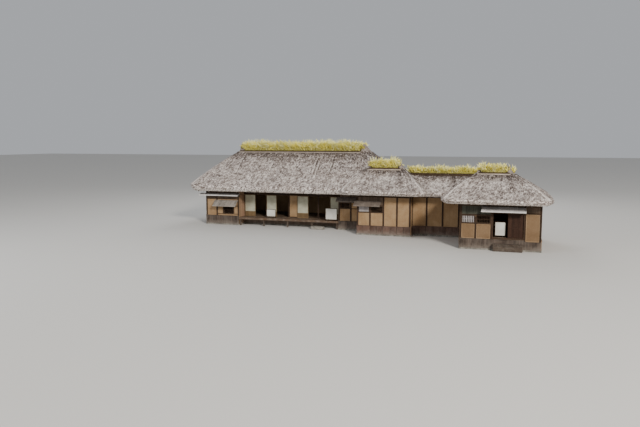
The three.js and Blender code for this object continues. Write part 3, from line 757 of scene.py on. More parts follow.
def boundsOf(roof):
    rings = thatchRings(roof, (1, 1, 8))
    order = ["low", "nose", "edge", "belly", "top"]
    shell = [boundingPlanes(rings[a], rings[b]) for a, b in zip(order[:-1], order[1:])]
    lowZ = roof["edgeZ"] - roof["drop"]
    flats = (np.array([[0, 0, 1], [0, 0, -1]]), np.array([roof["ridge"][3], -lowZ]))
    x0, x1, y0, y1 = insetRect(roof["edge"], thatchMake["undercut"] + thatchMake["lip"])
    sides = (np.array([[1, 0, 0], [-1, 0, 0], [0, 1, 0], [0, -1, 0]]), np.array([x1, -x0, y1, -y0]))
    return {
        "outer": joinPlanes(shell + [flats]),
        "hollow": joinPlanes([boundingPlanes(rings["lip"], rings["innerTop"]), sides]),
    }


limits = {key: boundsOf(roof) for key, roof in roofs.items()}


def inside(points, planes, margin):
    return ((points @ planes[0].T - planes[1]) < -margin).all(1)


def insideOthers(key, points, part, margin):
    hit = np.zeros(len(points), bool)
    for other in roofs:
        if other != key:
            hit |= inside(points, limits[other][part], margin)
    return hit


# How near a point lies to where this roof runs into another one.
def nearValley(key, points, reach):
    nearest = np.full(points.shape[:-1], 9.0)
    for other in roofs:
        if other != key:
            normals, offsets = limits[other]["outer"]
            depth = (points @ normals.T - offsets).max(-1) + thatchMake["skin"]
            nearest = np.minimum(nearest, np.abs(depth))
    return np.clip(1 - nearest / reach, 0, 1)


# The coat of one roof as a grid: slope rows with a full belly, then the rounded nose.
def coatGrid(roof):
    m = thatchMake
    x0, x1, y0, y1 = roof["edge"]
    counts = (int((x1 - x0) / m["cell"]), int((y1 - y0) / m["cell"]), 16)
    ring = thatchRings(roof, counts)
    rows = int(np.linalg.norm(ring["top"] - ring["edge"], axis=1).mean() / m["cell"])
    t = np.linspace(0, 1, rows + 1)[:, None, None]
    slope = ring["top"] * (1 - t) * (1 - 2 * t) + ring["belly"] * 4 * t * (1 - t)
    slope = slope + ring["edge"] * t * (2 * t - 1)
    shares = np.linspace(0, 1, m["noseRows"] + 1)[1:]
    plain = np.concatenate([slope, [noseRing(roof, share, counts) for share in shares]])
    # the arris where the slope turns into the nose is worn round
    for turn in range(6):
        part = plain[rows - 3:rows + 4]
        plain[rows - 2:rows + 3] = (part[:-2] + 2 * part[1:-1] + part[2:]) / 4
    along = np.roll(plain, -1, 1) - np.roll(plain, 1, 1)
    down = unit(np.gradient(plain, axis=0))
    out = unit(np.cross(down, along))
    steps = np.linalg.norm(np.diff(plain, axis=0), axis=2)
    dist = np.concatenate([np.zeros((1, plain.shape[1])), np.cumsum(steps, axis=0)])
    edgeSteps = np.linalg.norm(np.diff(ring["edge"], axis=0), axis=1)
    run = np.tile(np.concatenate([[0], np.cumsum(edgeSteps)]), (len(plain), 1))
    bump = m["sag"] * ripple(run / 1.9 + 31, dist / 1.5 + 7)
    bump += m["dimple"] * ripple(run / 0.5 + 3, dist / 0.6 + 50)
    bump += m["tuft"] * ripple(run / 0.14 + 9, dist / 0.13 + 21)
    bump += m["groove"] * ripple(run / 0.14 + 90, dist / 1.1)
    fade = np.clip(np.arange(len(plain)) / 4, 0, 1)[:, None]
    below = np.clip((np.arange(len(plain)) - rows) / m["noseRows"], 0, 1)[:, None]
    offset = (bump - m["skin"]) * fade * (1 - 0.55 * below) - 0.004
    if roof is roofs["main"]:
        offset = offset - m["furrowDeep"] * furrowShare(plain, dist) * (out[..., 1] < facesFront)
    return {"points": plain + out * offset[..., None], "out": out, "down": down, "dist": dist, "run": run,
            "rows": rows, "slopeLong": dist[rows], "rings": ring}


# Rain has washed a few narrow furrows down the front of the main roof, dark along one side.
def furrowShare(points, dist, aside=0.0):
    share = np.zeros(points.shape[:-1])
    for k, x in enumerate(thatchMake["furrows"]):
        bent = points[..., 0] - x - aside + 0.07 * ripple(dist / 0.8 + 13 * k, dist * 0 + k)
        ends = np.clip(1.6 - np.abs(dist - 1.9 - 0.35 * math.sin(3 * k)) / 0.9, 0, 1)
        share = np.maximum(share, ends * np.clip(1.4 - np.abs(bent) / thatchMake["furrowWide"], 0, 1))
    return share


# How pale the straw is at a spot: tufts, layers, rain streaks and a dark band below the ridge, partly moist
# straw and partly painted shade under the ridge poles, with pale hips and valleys, and a pale foot of the
# nose that is partly fresh cut ends and partly painted highlight where the nose faces the light.
def paleness(key, lie):
    m = toneMake
    run, dist, left = lie["run"], lie["dist"], lie["slopeLong"] - lie["dist"]
    tuft = ripple(run / 0.11 + 4, dist / 0.09 + 9)
    patch = ripple(run / 0.9 + 4, dist / 0.8 + 9)
    layer = ripple(run / 1.3 + 40, dist / 0.15 + 2)
    streak = ripple(run / 0.13 + 70, dist / 1.5 + 5)
    tone = m["base"] + m["tuft"] * (tuft - 0.5) + m["patch"] * (patch - 0.5) + m["layer"] * (layer - 0.5)
    upper = np.clip(1.5 - dist / 1.6, 0, 1)
    reach = (0.6 + 1.5 * streak) * lie["slopeLong"] / 4.5
    tone += (m["streak"] + m["upperStreak"] * upper) * (streak - 0.5)
    # darker below the ridge: partly moist straw, partly painted shade cast by the ridge poles and planting
    tone -= m["dampAndShade"] * np.clip(1.25 - dist / reach, 0, 1)
    # paler towards the foot and along the lower edge of the nose: painted highlight where the nose faces the
    # light, and at the edge also the pale cut ends
    tone += m["foot"] * np.clip(1 - left / 0.9, 0, 1) + m["cutEndsAndHighlight"] * np.clip(-left / 0.1 - 2.6, 0, 1)
    tone += m["valley"] * nearValley(key, lie["spots"], m["valleyReach"])
    level = unit(lie["out"][..., :2])
    corner = 1 - math.sqrt(2) * np.minimum(np.abs(level[..., 0]), np.abs(level[..., 1]))
    narrow = 1.2 + 4.5 * (dist / lie["slopeLong"]) ** 2
    tone += m["hip"] * np.clip(1 - corner * narrow, 0, 1) * (left > 0)
    if key == "main":
        washed = m["washedPale"] * furrowShare(lie["spots"], dist)
        washed = washed - m["washedDark"] * furrowShare(lie["spots"], dist, 0.1)
        tone += washed * (lie["out"][..., 1] < facesFront)
    return tone


def thatchShell(key, roof):
    grid = coatGrid(roof)
    points, dist, run = grid["points"], grid["dist"], grid["run"]
    height, around = dist.shape
    outerRows = height - 1
    tone = paleness(key, {"spots": points, "out": grid["out"], "run": run, "dist": dist,
                          "slopeLong": grid["slopeLong"]})
    tone += toneMake["speckle"] * chance.normal(0, 1, dist.shape)
    layers = {"points": [points.reshape(-1, 3)], "tone": [tone.ravel()],
              "lay": [np.column_stack([run.ravel(), dist.ravel(), np.zeros(dist.size)])]}
    rings = grid["rings"]
    for t in (0.0, 0.06, 0.35, 0.7, 1.0):
        layers["points"].append(rings["lip"] * (1 - t) + rings["innerTop"] * t + np.array([0, 0, 0.002]))
        layers["lay"].append(np.column_stack([run[0], grid["slopeLong"] * (1 - t), np.full(around, 2.0)]))
        layers["tone"].append(np.full(around, toneMake["hollow"]))
    layers = {name: np.concatenate(parts) for name, parts in layers.items()}
    faces = gridFaces(outerRows + 5, around)
    faceRow = np.repeat(np.arange(outerRows + 5), around)
    centres = layers["points"][np.array(faces)].mean(1)
    drop = np.where(faceRow < outerRows, insideOthers(key, centres, "outer", 0.06), False)
    drop |= insideOthers(key, centres, "hollow", 0.03)
    keep = [face[::-1] for face, gone in zip(faces, drop) if not gone]
    keep.append(tuple(range(around))[::-1])
    made = makeMesh(key + "_thatch_coat", layers["points"] + shift, keep,
                    lay=layers["lay"], tone=np.clip(layers["tone"], 0, 1))
    settle(made, "weatheredThatch", replaces=[key + "_thatch"], smooth=True)
    tidyMesh(made)
    return grid


def tidyMesh(made):
    work = bmesh.new()
    work.from_mesh(made.data)
    bmesh.ops.remove_doubles(work, verts=work.verts, dist=0.0004)
    loose = [v for v in work.verts if not v.link_faces]
    bmesh.ops.delete(work, geom=loose, context="VERTS")
    work.to_mesh(made.data)
    work.free()


# Single straws, each a narrow leaf with its own tone.
def straws(name, keep, *values):
    spots, run, out, across, long, wide, lift, tone = (value[keep] for value in values)
    n = len(spots)
    swing = chance.normal(0, 0.16, n)[:, None]
    heading = run * np.cos(swing) + across * np.sin(swing)
    flat = across * np.cos(swing) - run * np.sin(swing)
    twist = chance.uniform(-0.9, 0.9, n)[:, None]
    wideDir = flat * np.cos(twist) + out * np.sin(twist)
    root = spots + out * 0.002
    tip = spots + heading * long[:, None] + out * lift[:, None]
    w = wide[:, None] / 2
    verts = np.stack([root - wideDir * w, root + wideDir * w, tip + wideDir * w * 0.45,
                      tip - wideDir * w * 0.45], 1).reshape(-1, 3)
    low, high = np.array(cadLow) - shift + 0.002, np.array(cadHigh) - shift - 0.002
    verts = np.clip(verts, low, high)
    faces = (np.arange(n)[:, None] * 4 + np.arange(4)).tolist()
    made = makeMesh(name, verts + shift, faces, tone=np.repeat(np.clip(tone, 0, 1), 4))
    settle(made, "looseStraw")


# Random spots on the grid between two rows, even over its area.
def scatter(grid, n, firstRow, lastRow):
    points = grid["points"]
    a, b = points[firstRow:lastRow], points[firstRow + 1:lastRow + 1]
    area = np.linalg.norm(np.cross(b - a, np.roll(a, -1, 1) - a), axis=2).ravel()
    cell = chance.choice(area.size, n, p=area / area.sum())
    around = points.shape[1]
    row, column = cell // around + firstRow, cell % around
    nextOne = (column + 1) % around
    s, t = chance.random(n)[:, None], chance.random(n)[:, None]
    upper = points[row, column] * (1 - s) + points[row, nextOne] * s
    lower = points[row + 1, column] * (1 - s) + points[row + 1, nextOne] * s
    return {
        "spots": upper * (1 - t) + lower * t, "out": grid["out"][row, column],
        "down": grid["down"][row, column], "run": grid["run"][row, column] + s[:, 0] * 0.08,
        "dist": grid["dist"][row, column] + t[:, 0] * 0.08, "slopeLong": grid["slopeLong"][column],
    }


def scatterStraws(key, roof, grid):
    m = thatchMake
    n = roof["straws"]
    lie = scatter(grid, n, 1, grid["rows"])
    left = lie["slopeLong"] - lie["dist"]
    long = np.minimum(chance.uniform(*m["strawLong"], n), left + m["fringe"])
    wide = chance.uniform(*m["strawWide"], n)
    lift = chance.uniform(*m["lift"], n)
    tone = paleness(key, lie) + 0.16 * chance.normal(0, 1, n)
    keep = ~insideOthers(key, lie["spots"], "outer", -0.02) & (long > 0.03)
    across = np.cross(lie["out"], lie["down"])
    straws(key + "_loose_straw", keep, lie["spots"], lie["down"], lie["out"], across, long, wide, lift, tone)


# Short cut ends standing out of the rounded nose, palest along its lower edge, where the paleness is partly
# painted highlight.
def eaveEnds(key, grid):
    length = np.linalg.norm(np.diff(grid["rings"]["edge"], axis=0), axis=1).sum()
    n = int(length * thatchMake["endsPerMetre"])
    last = len(grid["points"]) - 1
    lie = scatter(grid, n, grid["rows"], last)
    heading = unit(lie["out"] + lie["down"] * 0.7)
    across = unit(np.cross(heading, lie["down"]))
    tone = paleness(key, lie) - 0.04 + 0.15 * chance.normal(0, 1, n)
    keep = ~insideOthers(key, lie["spots"], "outer", -0.01)
    keep &= ~insideOthers(key, lie["spots"], "hollow", 0.0)
    long, wide = chance.uniform(0.012, 0.034, n), chance.uniform(0.006, 0.013, n)
    straws(key + "_eave_ends", keep, lie["spots"], heading, lie["down"], across, long, wide, long * 0, tone)


# The raised end of the thatch beside a planted ridge: a bound sheaf, wide below.
def ridgeEnd(key, roof, end):
    x0, x1, y, z = roof["ridge"]
    x = x0 if end < 0 else x1
    reach, lean = (roof[part][0 if end < 0 else 1] for part in ("collarLong", "collarLean"))
    outX, inX = x + end * 0.05, x - end * (reach - 0.01)
    rings, rows = [], 11
    for row in range(rows + 1):
        t = row / rows
        half = thatchMake["stripHalf"] * (1 - t) + 0.115 * t - 0.06 * math.sin(math.pi * t)
        a = outX * (1 - t) + (x - end * (lean + 0.01)) * t
        b = inX * (1 - t) + (x - end * (lean + reach) / 2) * t
        height = z - 0.1 * (1 - t) + (roof["collar"] - 0.02) * t
        rect = (min(a, b), max(a, b), y - half, y + half)
        ring = ringOf(rect, min(0.05, half * 0.6, abs(b - a) * 0.4), height, (10, 10, 5))
        around = np.arange(len(ring))
        push = 0.026 * ripple(around / 1.3 + 7 * row, around * 0 + row * 0.7) - 0.02
        away = ring - ring.mean(0)
        away[:, 2] = 0
        rings.append(ring + unit(away) * push[:, None])
    count = len(rings[0])
    points = np.concatenate(rings)
    faces = gridFaces(rows, count) + [tuple(range(rows * count, (rows + 1) * count))]
    lay = np.column_stack([np.tile(np.arange(count) * 0.03, rows + 1),
                           np.repeat(np.linspace(0.5, 0, rows + 1), count), np.zeros(len(points))])
    made = makeMesh(key + ("_left" if end < 0 else "_right") + "_ridge_end", points + shift, faces,
                    lay=lay, tone=np.full(len(points), toneMake["ridgeEnd"]))
    settle(made, "weatheredThatch", smooth=True)


for key, roof in roofs.items():
    grid = thatchShell(key, roof)
    scatterStraws(key, roof, grid)
    eaveEnds(key, grid)
    if roof["collar"]:
        ridgeEnd(key, roof, -1)
        ridgeEnd(key, roof, 1)
print("thatch laid")

# Planted ridges
ridgeMake = {
    "poleRadius": 0.055, "lowerRadius": 0.05, "tieEvery": 0.92,
    "bladeLong": (0.3, 0.78), "bladeWide": (0.028, 0.066), "soil": 0.42, "bedHalf": 0.315, "bedSteps": 25,
    "edging": 0.45, "clump": 0.2, "thinBelow": 0.36, "thinKept": 0.3, "shortInThin": (0.58, 0.74),
    "bladeToneGapShade": (0.22, 0.95), "toneSpread": 0.22, "tieRadius": 0.016, "lowerAway": 0.15,
}


# Height of the planting along the ridge, as in the solids.
def plantingHeight(roof, x):
    x0, x1 = roof["ridge"][0] + 0.06, roof["ridge"][1] - 0.06
    steps = round((x1 - x0) / 0.64)
    i = np.clip((x - x0) / (x1 - x0), 0, 1) * steps
    low = np.floor(np.minimum(i, steps - 1e-6))
    here, there = (roof["turf"] + 0.075 * np.sin(2.3 * k + 0.7) for k in (low, low + 1))
    return here + (there - here) * (i - low)


def turfBed(key, roof):
    x0, x1, y, z = roof["ridge"]
    left, right = (long + 0.012 if long else 0.062 for long in roof["collarLong"])
    xs, n = np.arange(x0 + left, x1 - right, 0.05), ridgeMake["bedSteps"]
    side = np.linspace(-1, 1, n)
    profile = np.sqrt(np.clip(1 - np.abs(side) ** 2.6, 0, 1))
    points = []
    for x in xs:
        tall = plantingHeight(roof, np.array([x]))[0] * ridgeMake["soil"]
        half = ridgeMake["bedHalf"] * (1 - 0.25 * (1 - min(1, (x - xs[0]) / 0.2, (xs[-1] - x) / 0.2)))
        rough = 0.12 * ripple(side * 4 + x * 7, side * 0 + x * 3)
        rise = z + 0.004 + profile * tall * (1 - rough)
        points.append(np.column_stack([np.full(n, x), y + side * half, rise]))
    last = (len(xs) - 1) * n
    faces = [tuple(range(n)), tuple(range(last, last + n))[::-1]]
    for row in range(0, last, n):
        faces += [(a, a + n, a + n + 1, a + 1) for a in range(row, row + n - 1)]
        faces.append((row, row + n - 1, row + 2 * n - 1, row + n))
    made = makeMesh(key + "_turf_bed", np.concatenate(points) + shift, faces)
    settle(made, "ridgeTurf", replaces=[key + "_ridge_turf"], smooth=True)


# Narrow blades rising from the bed and bending over, each in three lengths.
def ridgePlants(key, roof):
    x0, x1, y, z = roof["ridge"]
    first, last = x0 + roof["collarLean"][0], x1 - roof["collarLean"][1]
    n = int((last - first) * roof["blades"])
    x = chance.uniform(first, last, n)
    side = chance.uniform(-1, 1, n)
    edging = chance.random(n) < ridgeMake["edging"]  # these stand along both edges of the bed
    side = np.where(edging, np.sign(side) * np.abs(side) ** 0.3, side)
    clump = ripple(x / ridgeMake["clump"] + 3, side * 1.4 + 8)
    # thin spots between the clumps
    kept = (clump > ridgeMake["thinBelow"]) | (chance.random(n) < ridgeMake["thinKept"])
    x, side, clump = x[kept], side[kept], clump[kept]
    n = len(x)
    tall = plantingHeight(roof, x)
    onEnd = np.zeros(n)
    if roof["collar"]:
        left, right = (long - lean for long, lean in zip(roof["collarLong"], roof["collarLean"]))
        onEnd = np.clip(1 - np.minimum((x - first) / left, (last - x) / right), 0, 1)
    profile = np.sqrt(np.clip(1 - np.abs(side) ** 2.6, 0, 1))
    rootZ = z + profile * tall * ridgeMake["soil"]
    rootZ = np.where(onEnd > 0, z + roof["collar"] * (0.3 + 0.55 * (1 - np.abs(side))), rootZ)
    root = np.column_stack([x, y + side * (0.3 - 0.12 * onEnd), rootZ])
    outward = side * chance.uniform(0.4, 1.3, n)
    heading = unit(np.column_stack([chance.normal(0, 0.38, n), outward, np.ones(n)]))
    short, more = ridgeMake["shortInThin"]
    long = tall * chance.uniform(*ridgeMake["bladeLong"], n) * (short + more * clump)
    long = np.where(onEnd > 0, long * 0.75, long)
    droop = np.column_stack([chance.normal(0, 0.5, n), np.sign(side) * 0.6, -np.ones(n)])
    bend = chance.uniform(0.1, 0.8, n)[:, None] * droop
    turned = np.column_stack([chance.normal(0, 0.7, n), np.ones(n), np.zeros(n)])
    wideDir = unit(np.cross(heading, turned))
    wide = chance.uniform(*ridgeMake["bladeWide"], n)[:, None] / 2
    rows, reach = [], []
    for t, w in ((0.0, 0.7), (0.35, 1.0), (0.7, 0.8), (1.0, 0.1)):
        spot = root + heading * (long * t)[:, None] + bend * (long * t * t)[:, None] * 0.55
        rows += [spot - wideDir * wide * w, spot + wideDir * wide * w]
        reach += [np.full(n, t), np.full(n, t)]
    verts = np.stack(rows, 1).reshape(-1, 3)
    verts[:, 2] = np.clip(verts[:, 2], z - 0.1, cadHigh[2] - 0.004)
    blade = np.array([(0, 1, 3, 2), (2, 3, 5, 4), (4, 5, 7, 6)])
    faces = (np.arange(0, n * 8, 8)[:, None, None] + blade).reshape(-1, 4).tolist()
    # blades in the thin spots between clumps are darker: painted shade in the gaps; the spread on top is
    # random tone
    low, more = ridgeMake["bladeToneGapShade"]
    tone = np.clip(low + more * clump + chance.normal(0, ridgeMake["toneSpread"], n), 0, 1)
    made = makeMesh(key + "_ridge_plants", verts + shift, faces,
                    tone=np.repeat(tone, 8), reach=np.stack(reach, 1).reshape(-1))
    settle(made, "ridgePlantBlades")


# A dark pole at the foot of the planting and a pale one below it, tied across at even steps.
def ridgePoles():
    m = ridgeMake
    pale, dark = newStock(), newStock()
    for key, roof in roofs.items():
        x0, x1, y, z = roof["ridge"]
        half = thatchMake["stripHalf"]
        slope = math.atan2(z - roof["edgeZ"], y - half - roof["edge"][2])
        a, b = x0 + roof["poleEnds"][0], x1 - roof["poleEnds"][1]
        ties = max(2, round((b - a) / m["tieEvery"]))
        for side in (-1, 1):
            front, high = y + side * (half + 0.04), z - 0.035
            addPole(dark, (a + 0.08, front, high), (b - 0.08, front, high), m["poleRadius"], 12, 0.42)
            out, down = m["lowerAway"] * math.cos(slope), m["lowerAway"] * math.sin(slope)
            low = (front + side * out, z - 0.02 - down)
            second = dark if key == "link" else pale
            addPole(second, (a, *low), (b, *low), m["lowerRadius"], 12, 0.4, tone=roof["poleTone"])
            for i in range(ties + 1):
                x = a + 0.16 + (b - a - 0.32) * i / ties
                above, under = (x, front - side * 0.05, z + 0.045), (x, low[0] + side * 0.05, low[1] - 0.01)
                addPole(dark, above, under, m["tieRadius"], 7)
    finishStock("ridge_bamboo", pale, "bamboo", smooth=True)
    finishStock("ridge_ties", dark, "smokedPoles", smooth=True)


for key, roof in roofs.items():
    turfBed(key, roof)
    ridgePlants(key, roof)
ridgePoles()
print("ridges planted")


# Rafters and battens under the thatch
rafterMake = {
    "every": 0.485, "radius": 0.034, "sink": 0.02, "probe": 0.0669, "stop": 0.97,
    "battenRadius": 0.014, "battenRows": (0.1, 0.42, 0.74, 1.06),
}


def rafters():
    m = rafterMake
    poles, battens = newStock(), newStock()
    for key, roof in roofs.items():
        x0, x1, y, z = roof["ridge"]
        rect = insetRect(roof["edge"], thatchMake["undercut"] + thatchMake["lip"] + 0.03)
        left, right, front, back = rect
        low, top = roof["edgeZ"] - roof["drop"] + 0.012, z - roof["inner"] - 0.06
        feet = [((x, edge, low), (min(max(x, x0), x1), y, top))
                for x in np.arange(left + 0.5, right - 0.4, m["every"]) for edge in (front, back)]
        feet += [((edge, along, low), (end, y, top))
                 for along in np.arange(front + 0.5, back - 0.4, m["every"])
                 for edge, end in ((left, x0), (right, x1))]
        for foot, head in feet:
            foot, head = np.array(foot) - (0, 0, m["sink"]), np.array(head)
            # a rafter is there where the roof is this one's own, and stops at the ridge line
            first, probe, last = (foot + (head - foot) * share for share in (0.0, m["probe"], m["stop"]))
            if not insideOthers(key, probe[None], "outer", 0.0)[0]:
                down = (0, 0, m["sink"])
                addPole(poles, first - down, last - down, m["radius"], 8, taper=0.8)
        for row in m["battenRows"]:
            for edge, side in ((front, 1), (back, -1)):
                a, b = left + row + 0.3, right - row - 0.3
                spot = (edge + side * row, low + (top - low) / abs(y - edge) * row - 0.002)
                tests = np.array([(x, *spot) for x in ((a + b) / 2, a + 0.3, b - 0.3)])
                if not insideOthers(key, tests, "outer", 0.0).all():
                    addPole(battens, (a, *spot), (b, *spot), m["battenRadius"], 6, 0.4)
    finishStock("rafter_poles", poles, "smokedPoles", smooth=True)
    finishStock("eave_battens", battens, "bamboo", smooth=True)


rafters()
print("rafters set")


# Walls are laid out along u, with v running inward from the outer face.
def wallBox(wall, u, v, z):
    side, at = wall["side"], wall["at"]
    v0, v1 = (-v[1], -v[0]) if side in ("back", "right") else v
    if side in ("front", "back"):
        return (u[0], at + v0, z[0]), (u[1], at + v1, z[1])
    return (at + v0, u[0], z[0]), (at + v1, u[1], z[1])


def addWallBlock(stock, wall, u, v, z, chamfer, **more):
    addBlock(stock, *wallBox(wall, u, v, z), chamfer, **more)


# Four bars round the inside of a rectangle on the wall.
def addRim(stock, wall, box, wide, v, chamfer):
    u0, u1, z0, z1 = box
    for u, z in (((u0, u0 + wide), (z0, z1)), ((u1 - wide, u1), (z0, z1)),
                 ((u0 + wide, u1 - wide), (z0, z0 + wide)), ((u0 + wide, u1 - wide), (z1 - wide, z1))):
        addWallBlock(stock, wall, u, v, z, chamfer)


def wallTopAt(wall, u0, u1, v):
    spots = (wallBox(wall, (u, u), (v, v), (0, 0))[0] for u in (u0, (u0 + u1) / 2, u1))
    return min(underThatch(x, y) for x, y, z in spots)


upToThatch, cutAbove = 4.4, 2.6  # a piece that ends above cutAbove is cut to the thatch's underside
postSide, cornerSide, cornerDeep = 0.062, 0.122, 0.1203  # from a post's middle or a corner to the panel
hair = 0.0003
wallMake = {
    "postEdge": 0.008, "railEdge": 0.007, "boardEdge": 0.006, "cap": 0.055, "lowBoard": 0.07,
    "border": 0.032, "borderDepth": (0.0245, 0.0305), "rimWide": 0.026, "rimDepth": (0.006, 0.07),
    "slatDepth": (0.03, 0.05), "bar": 0.028, "barDepth": (0.05, 0.062),
}


# Posts, rails, boarded foot and plaster borders of one wall.
def dressWall(name, wall, plain=True, replaces=()):
    m = wallMake
    frames, boards, strips, borders = newStock(), newStock(), newStock(), newStock()
    v0, v1 = (-0.003, 0.045) if plain else (0.0, 0.058)
    grow = 0.002 if plain else 0
    for centre, low, high, *wide in wall["posts"]:
        half = (wide[0] if wide else postWide) / 2 + grow
        centre = min(max(centre, wall["from"] + half), wall["to"] - half)
        if high > cutAbove:
            high = wallTopAt(wall, centre - half, centre + half, max(v0, 0.0) + 0.0005)
        addWallBlock(frames, wall, (centre - half, centre + half), (v0, v1), (low, high), m["postEdge"])
    for u0, u1, z0, z1 in wall["rails"]:
        addWallBlock(frames, wall, (u0, u1), (v0 + 0.002, v1), (z0 - grow, z1 + grow), m["railEdge"])
    finishStock(name + "_posts", frames, replaces=replaces)
    d0, d1 = (-0.036, -0.0245) if plain else (-0.025, 0.056)
    for u0, u1, top, wide in wall["dado"]:
        count = max(1, round((u1 - u0) / wide))
        edges = np.linspace(u0, u1, count + 1)
        edges[1:-1] += chance.uniform(-0.02, 0.02, count - 1)
        under = top - m["cap"]
        for a, b in zip(edges[:-1], edges[1:]):
            sink = chance.uniform(0, 0.003)
            addWallBlock(boards, wall, (a + 0.0008, b - 0.0008), (d0 + sink, d1), (foot, under + 0.004),
                         m["boardEdge"], along=2)
        if wide > 0.4:
            for u in edges[1:-1]:
                addWallBlock(strips, wall, (u - 0.016, u + 0.016), (d0 - 0.005, d1 - 0.004),
                             (foot + m["lowBoard"], under), 0.003)
        addWallBlock(boards, wall, (u0, u1), (d0 - 0.008, d1), (under, top), m["boardEdge"], tone=0.2)
        addWallBlock(boards, wall, (u0, u1), (d0 - 0.006, d1), (foot, foot + m["lowBoard"]),
                     m["boardEdge"], tone=0.15)
    finishStock(name + "_boarded_foot", boards, wall.get("dadoLook", "dadoBoards"))
    if strips["count"]:
        finishStock(name + "_foot_strips", strips)
    for u0, u1, z0, z1 in wall["panels"]:
        if z1 > cutAbove:
            z1 = min(z1, wallTopAt(wall, u0, u1, 0.0305))
        addRim(borders, wall, (u0, u1, z0, z1), m["border"], m["borderDepth"], 0.002)
    if borders["count"]:
        finishStock(name + "_plaster_borders", borders, "plasterEdge")


def standing(*spots):
    return [(spot, foot, upToThatch) for spot in spots]


def evenPosts(start, end, step):
    count = max(1, round((end - start) / step))
    return standing(*(start + (end - start) * i / count for i in range(count + 1)))


# Panels between posts, from the boarded foot to the beam.
def openPanels(posts):
    spots = sorted(c for c, *rest in posts)
    return [(a + postSide, b - postSide, dado, beam) for a, b in zip(spots[:-1], spots[1:]) if b - a > 0.3]


def beamRail(start, end):
    return (start, end, beam, beam + beamTall)


wingFront = {
    "side": "front", "at": rangeFront, "from": 0.0, "to": wingR,
    "posts": standing(0.0) + [(bay, foot, head)] + standing(2 * bay, 3 * bay, 4 * bay),
    "rails": [beamRail(0, 4 * bay), (0, 2 * bay, head, head + 0.09), (0, 2 * bay, sill - 0.06, sill)],
    "dado": [(0.0, 4 * bay, dado, 0.49)],
    "panels": [(cornerSide, bay - postSide, dado, sill - 0.06),
               (bay + postSide, 2 * bay - postSide, dado, sill - 0.06),
               (2 * bay + postSide, 3 * bay - postSide, dado, beam),
               (3 * bay + postSide, 4 * bay - cornerSide, dado, beam)],
}
mainLeftFront = {
    "side": "front", "at": 0.0, "from": mainL, "to": sideL, "dadoLook": "agedDado",
    "posts": standing(mainL, mainL + bay, sideL) + [
        (mainL + bay * 1.56, 0.9, 1.56, 0.07), (mainL + bay * 2.52, 0.9, 1.56, 0.07)],
    "rails": [beamRail(mainL, sideL), (mainL, sideL, 2.05, 2.14), (mainL + bay, sideL, 1.5, 1.56),
              (mainL + bay, sideL, 0.85, 0.9)],
    "dado": [(mainL, sideL, 0.76, 0.24)],
    "panels": [(mainL + cornerSide, mainL + bay - postSide, 0.76, 2.05),
               (mainL + bay + postSide, mainL + bay * 1.56 - 0.036, 0.9, 1.5)],
}
mainRightFront = {
    "side": "front", "at": 0.0, "from": sideR, "to": -hair, "dadoLook": "agedDado",
    "posts": standing(sideR, -bay, 0.0),
    "rails": [beamRail(sideR, -hair), (sideR, -hair, head, head + 0.07), (sideR, -hair, sill - 0.06, sill)],
    "dado": [(sideR, -hair, dado, 0.24)],
    "panels": [(sideR + cornerSide, -bay - postSide, dado, sill - 0.06),
               (-bay + postSide, -cornerSide, dado, sill - 0.06), (-bay + postSide, -cornerSide, sill, head)],
}
roomFront = {
    "side": "front", "at": roomFace, "from": roomL, "to": roomR, "dadoLook": "agedDado",
    "posts": [*standing(roomL), (roomL + bay, foot, head), (doorL, foot, upToThatch, 0.15),
              *standing(doorR, roomR)],
    "rails": [beamRail(roomL, roomR), (roomL, doorL, head + 0.05, head + 0.13),
              (roomL, doorL, sill - 0.06, sill), (doorL, doorR, 2.29, 2.4), (doorR, roomR, 2.29, 2.38),
              (doorL, doorR, roomFloor - 0.08, roomFloor)],
    "dado": [(roomL, doorL, dado, 0.24), (doorL, doorR, dado, 0.3), (doorR, roomR, 0.62, 0.24)],
    "panels": [(roomL + cornerSide, roomL + bay - postSide, dado, sill - 0.06),
               (roomL + bay + postSide, doorL - 0.077, dado, sill - 0.06),
               (doorR + postSide, roomR - cornerSide, 0.62, 2.29)],
}
dressWall("wing_front", wingFront, plain=False, replaces=["wing_front_timber"])
dressWall("main_left_front", mainLeftFront)
dressWall("main_right_front", mainRightFront)
dressWall("room_front", roomFront)

# The plain walls: side, face, start, end and the posts between the end posts
plainWalls = {
    "main_left_wall": ("left", mainL, cornerDeep, mainBack - 0.01, evenPosts(bay, mainBack - bay, bay)),
    "main_right_wall": ("right", mainR, cornerDeep, mainBack - 0.01, evenPosts(bay, mainBack - bay, bay)),
    "main_back_wall": ("back", mainBack, mainL, mainR, evenPosts(mainL, mainR, 2 * bay)),
    "wing_left_wall": ("left", 0.0, rangeFront + cornerDeep, -0.0253, standing(rangeFront + bay)),
    "wing_right_wall": ("right", wingR, rangeFront + cornerDeep, linkFront - 0.03,
                        standing(linkFront - 0.04)),
    "link_front_wall": ("front", linkFront, wingR, roomL + 0.02,
                        evenPosts(wingR + bay, roomL - bay / 2, bay)),
    "room_left_wall": ("left", roomL, roomFace + cornerDeep, linkFront + 0.12,
                       evenPosts(roomFace + bay, linkFront - bay / 2, bay)),
    "range_back_wall": ("back", 0.0, mainR + 0.0253, roomR, evenPosts(mainR + bay, roomR, 2 * bay)),
    "room_right_wall": ("right", roomR, roomFace + cornerDeep, -0.01, evenPosts(roomFace + bay, -bay, bay)),
}
for name, (side, at, start, end, posts) in plainWalls.items():
    dressWall(name, {
        "side": side, "at": at, "from": start, "to": end, "posts": posts, "rails": [beamRail(start, end)],
        "dado": [(start, end, dado, 0.49)], "panels": openPanels(standing(start, end) + posts),
    })
print("walls dressed")

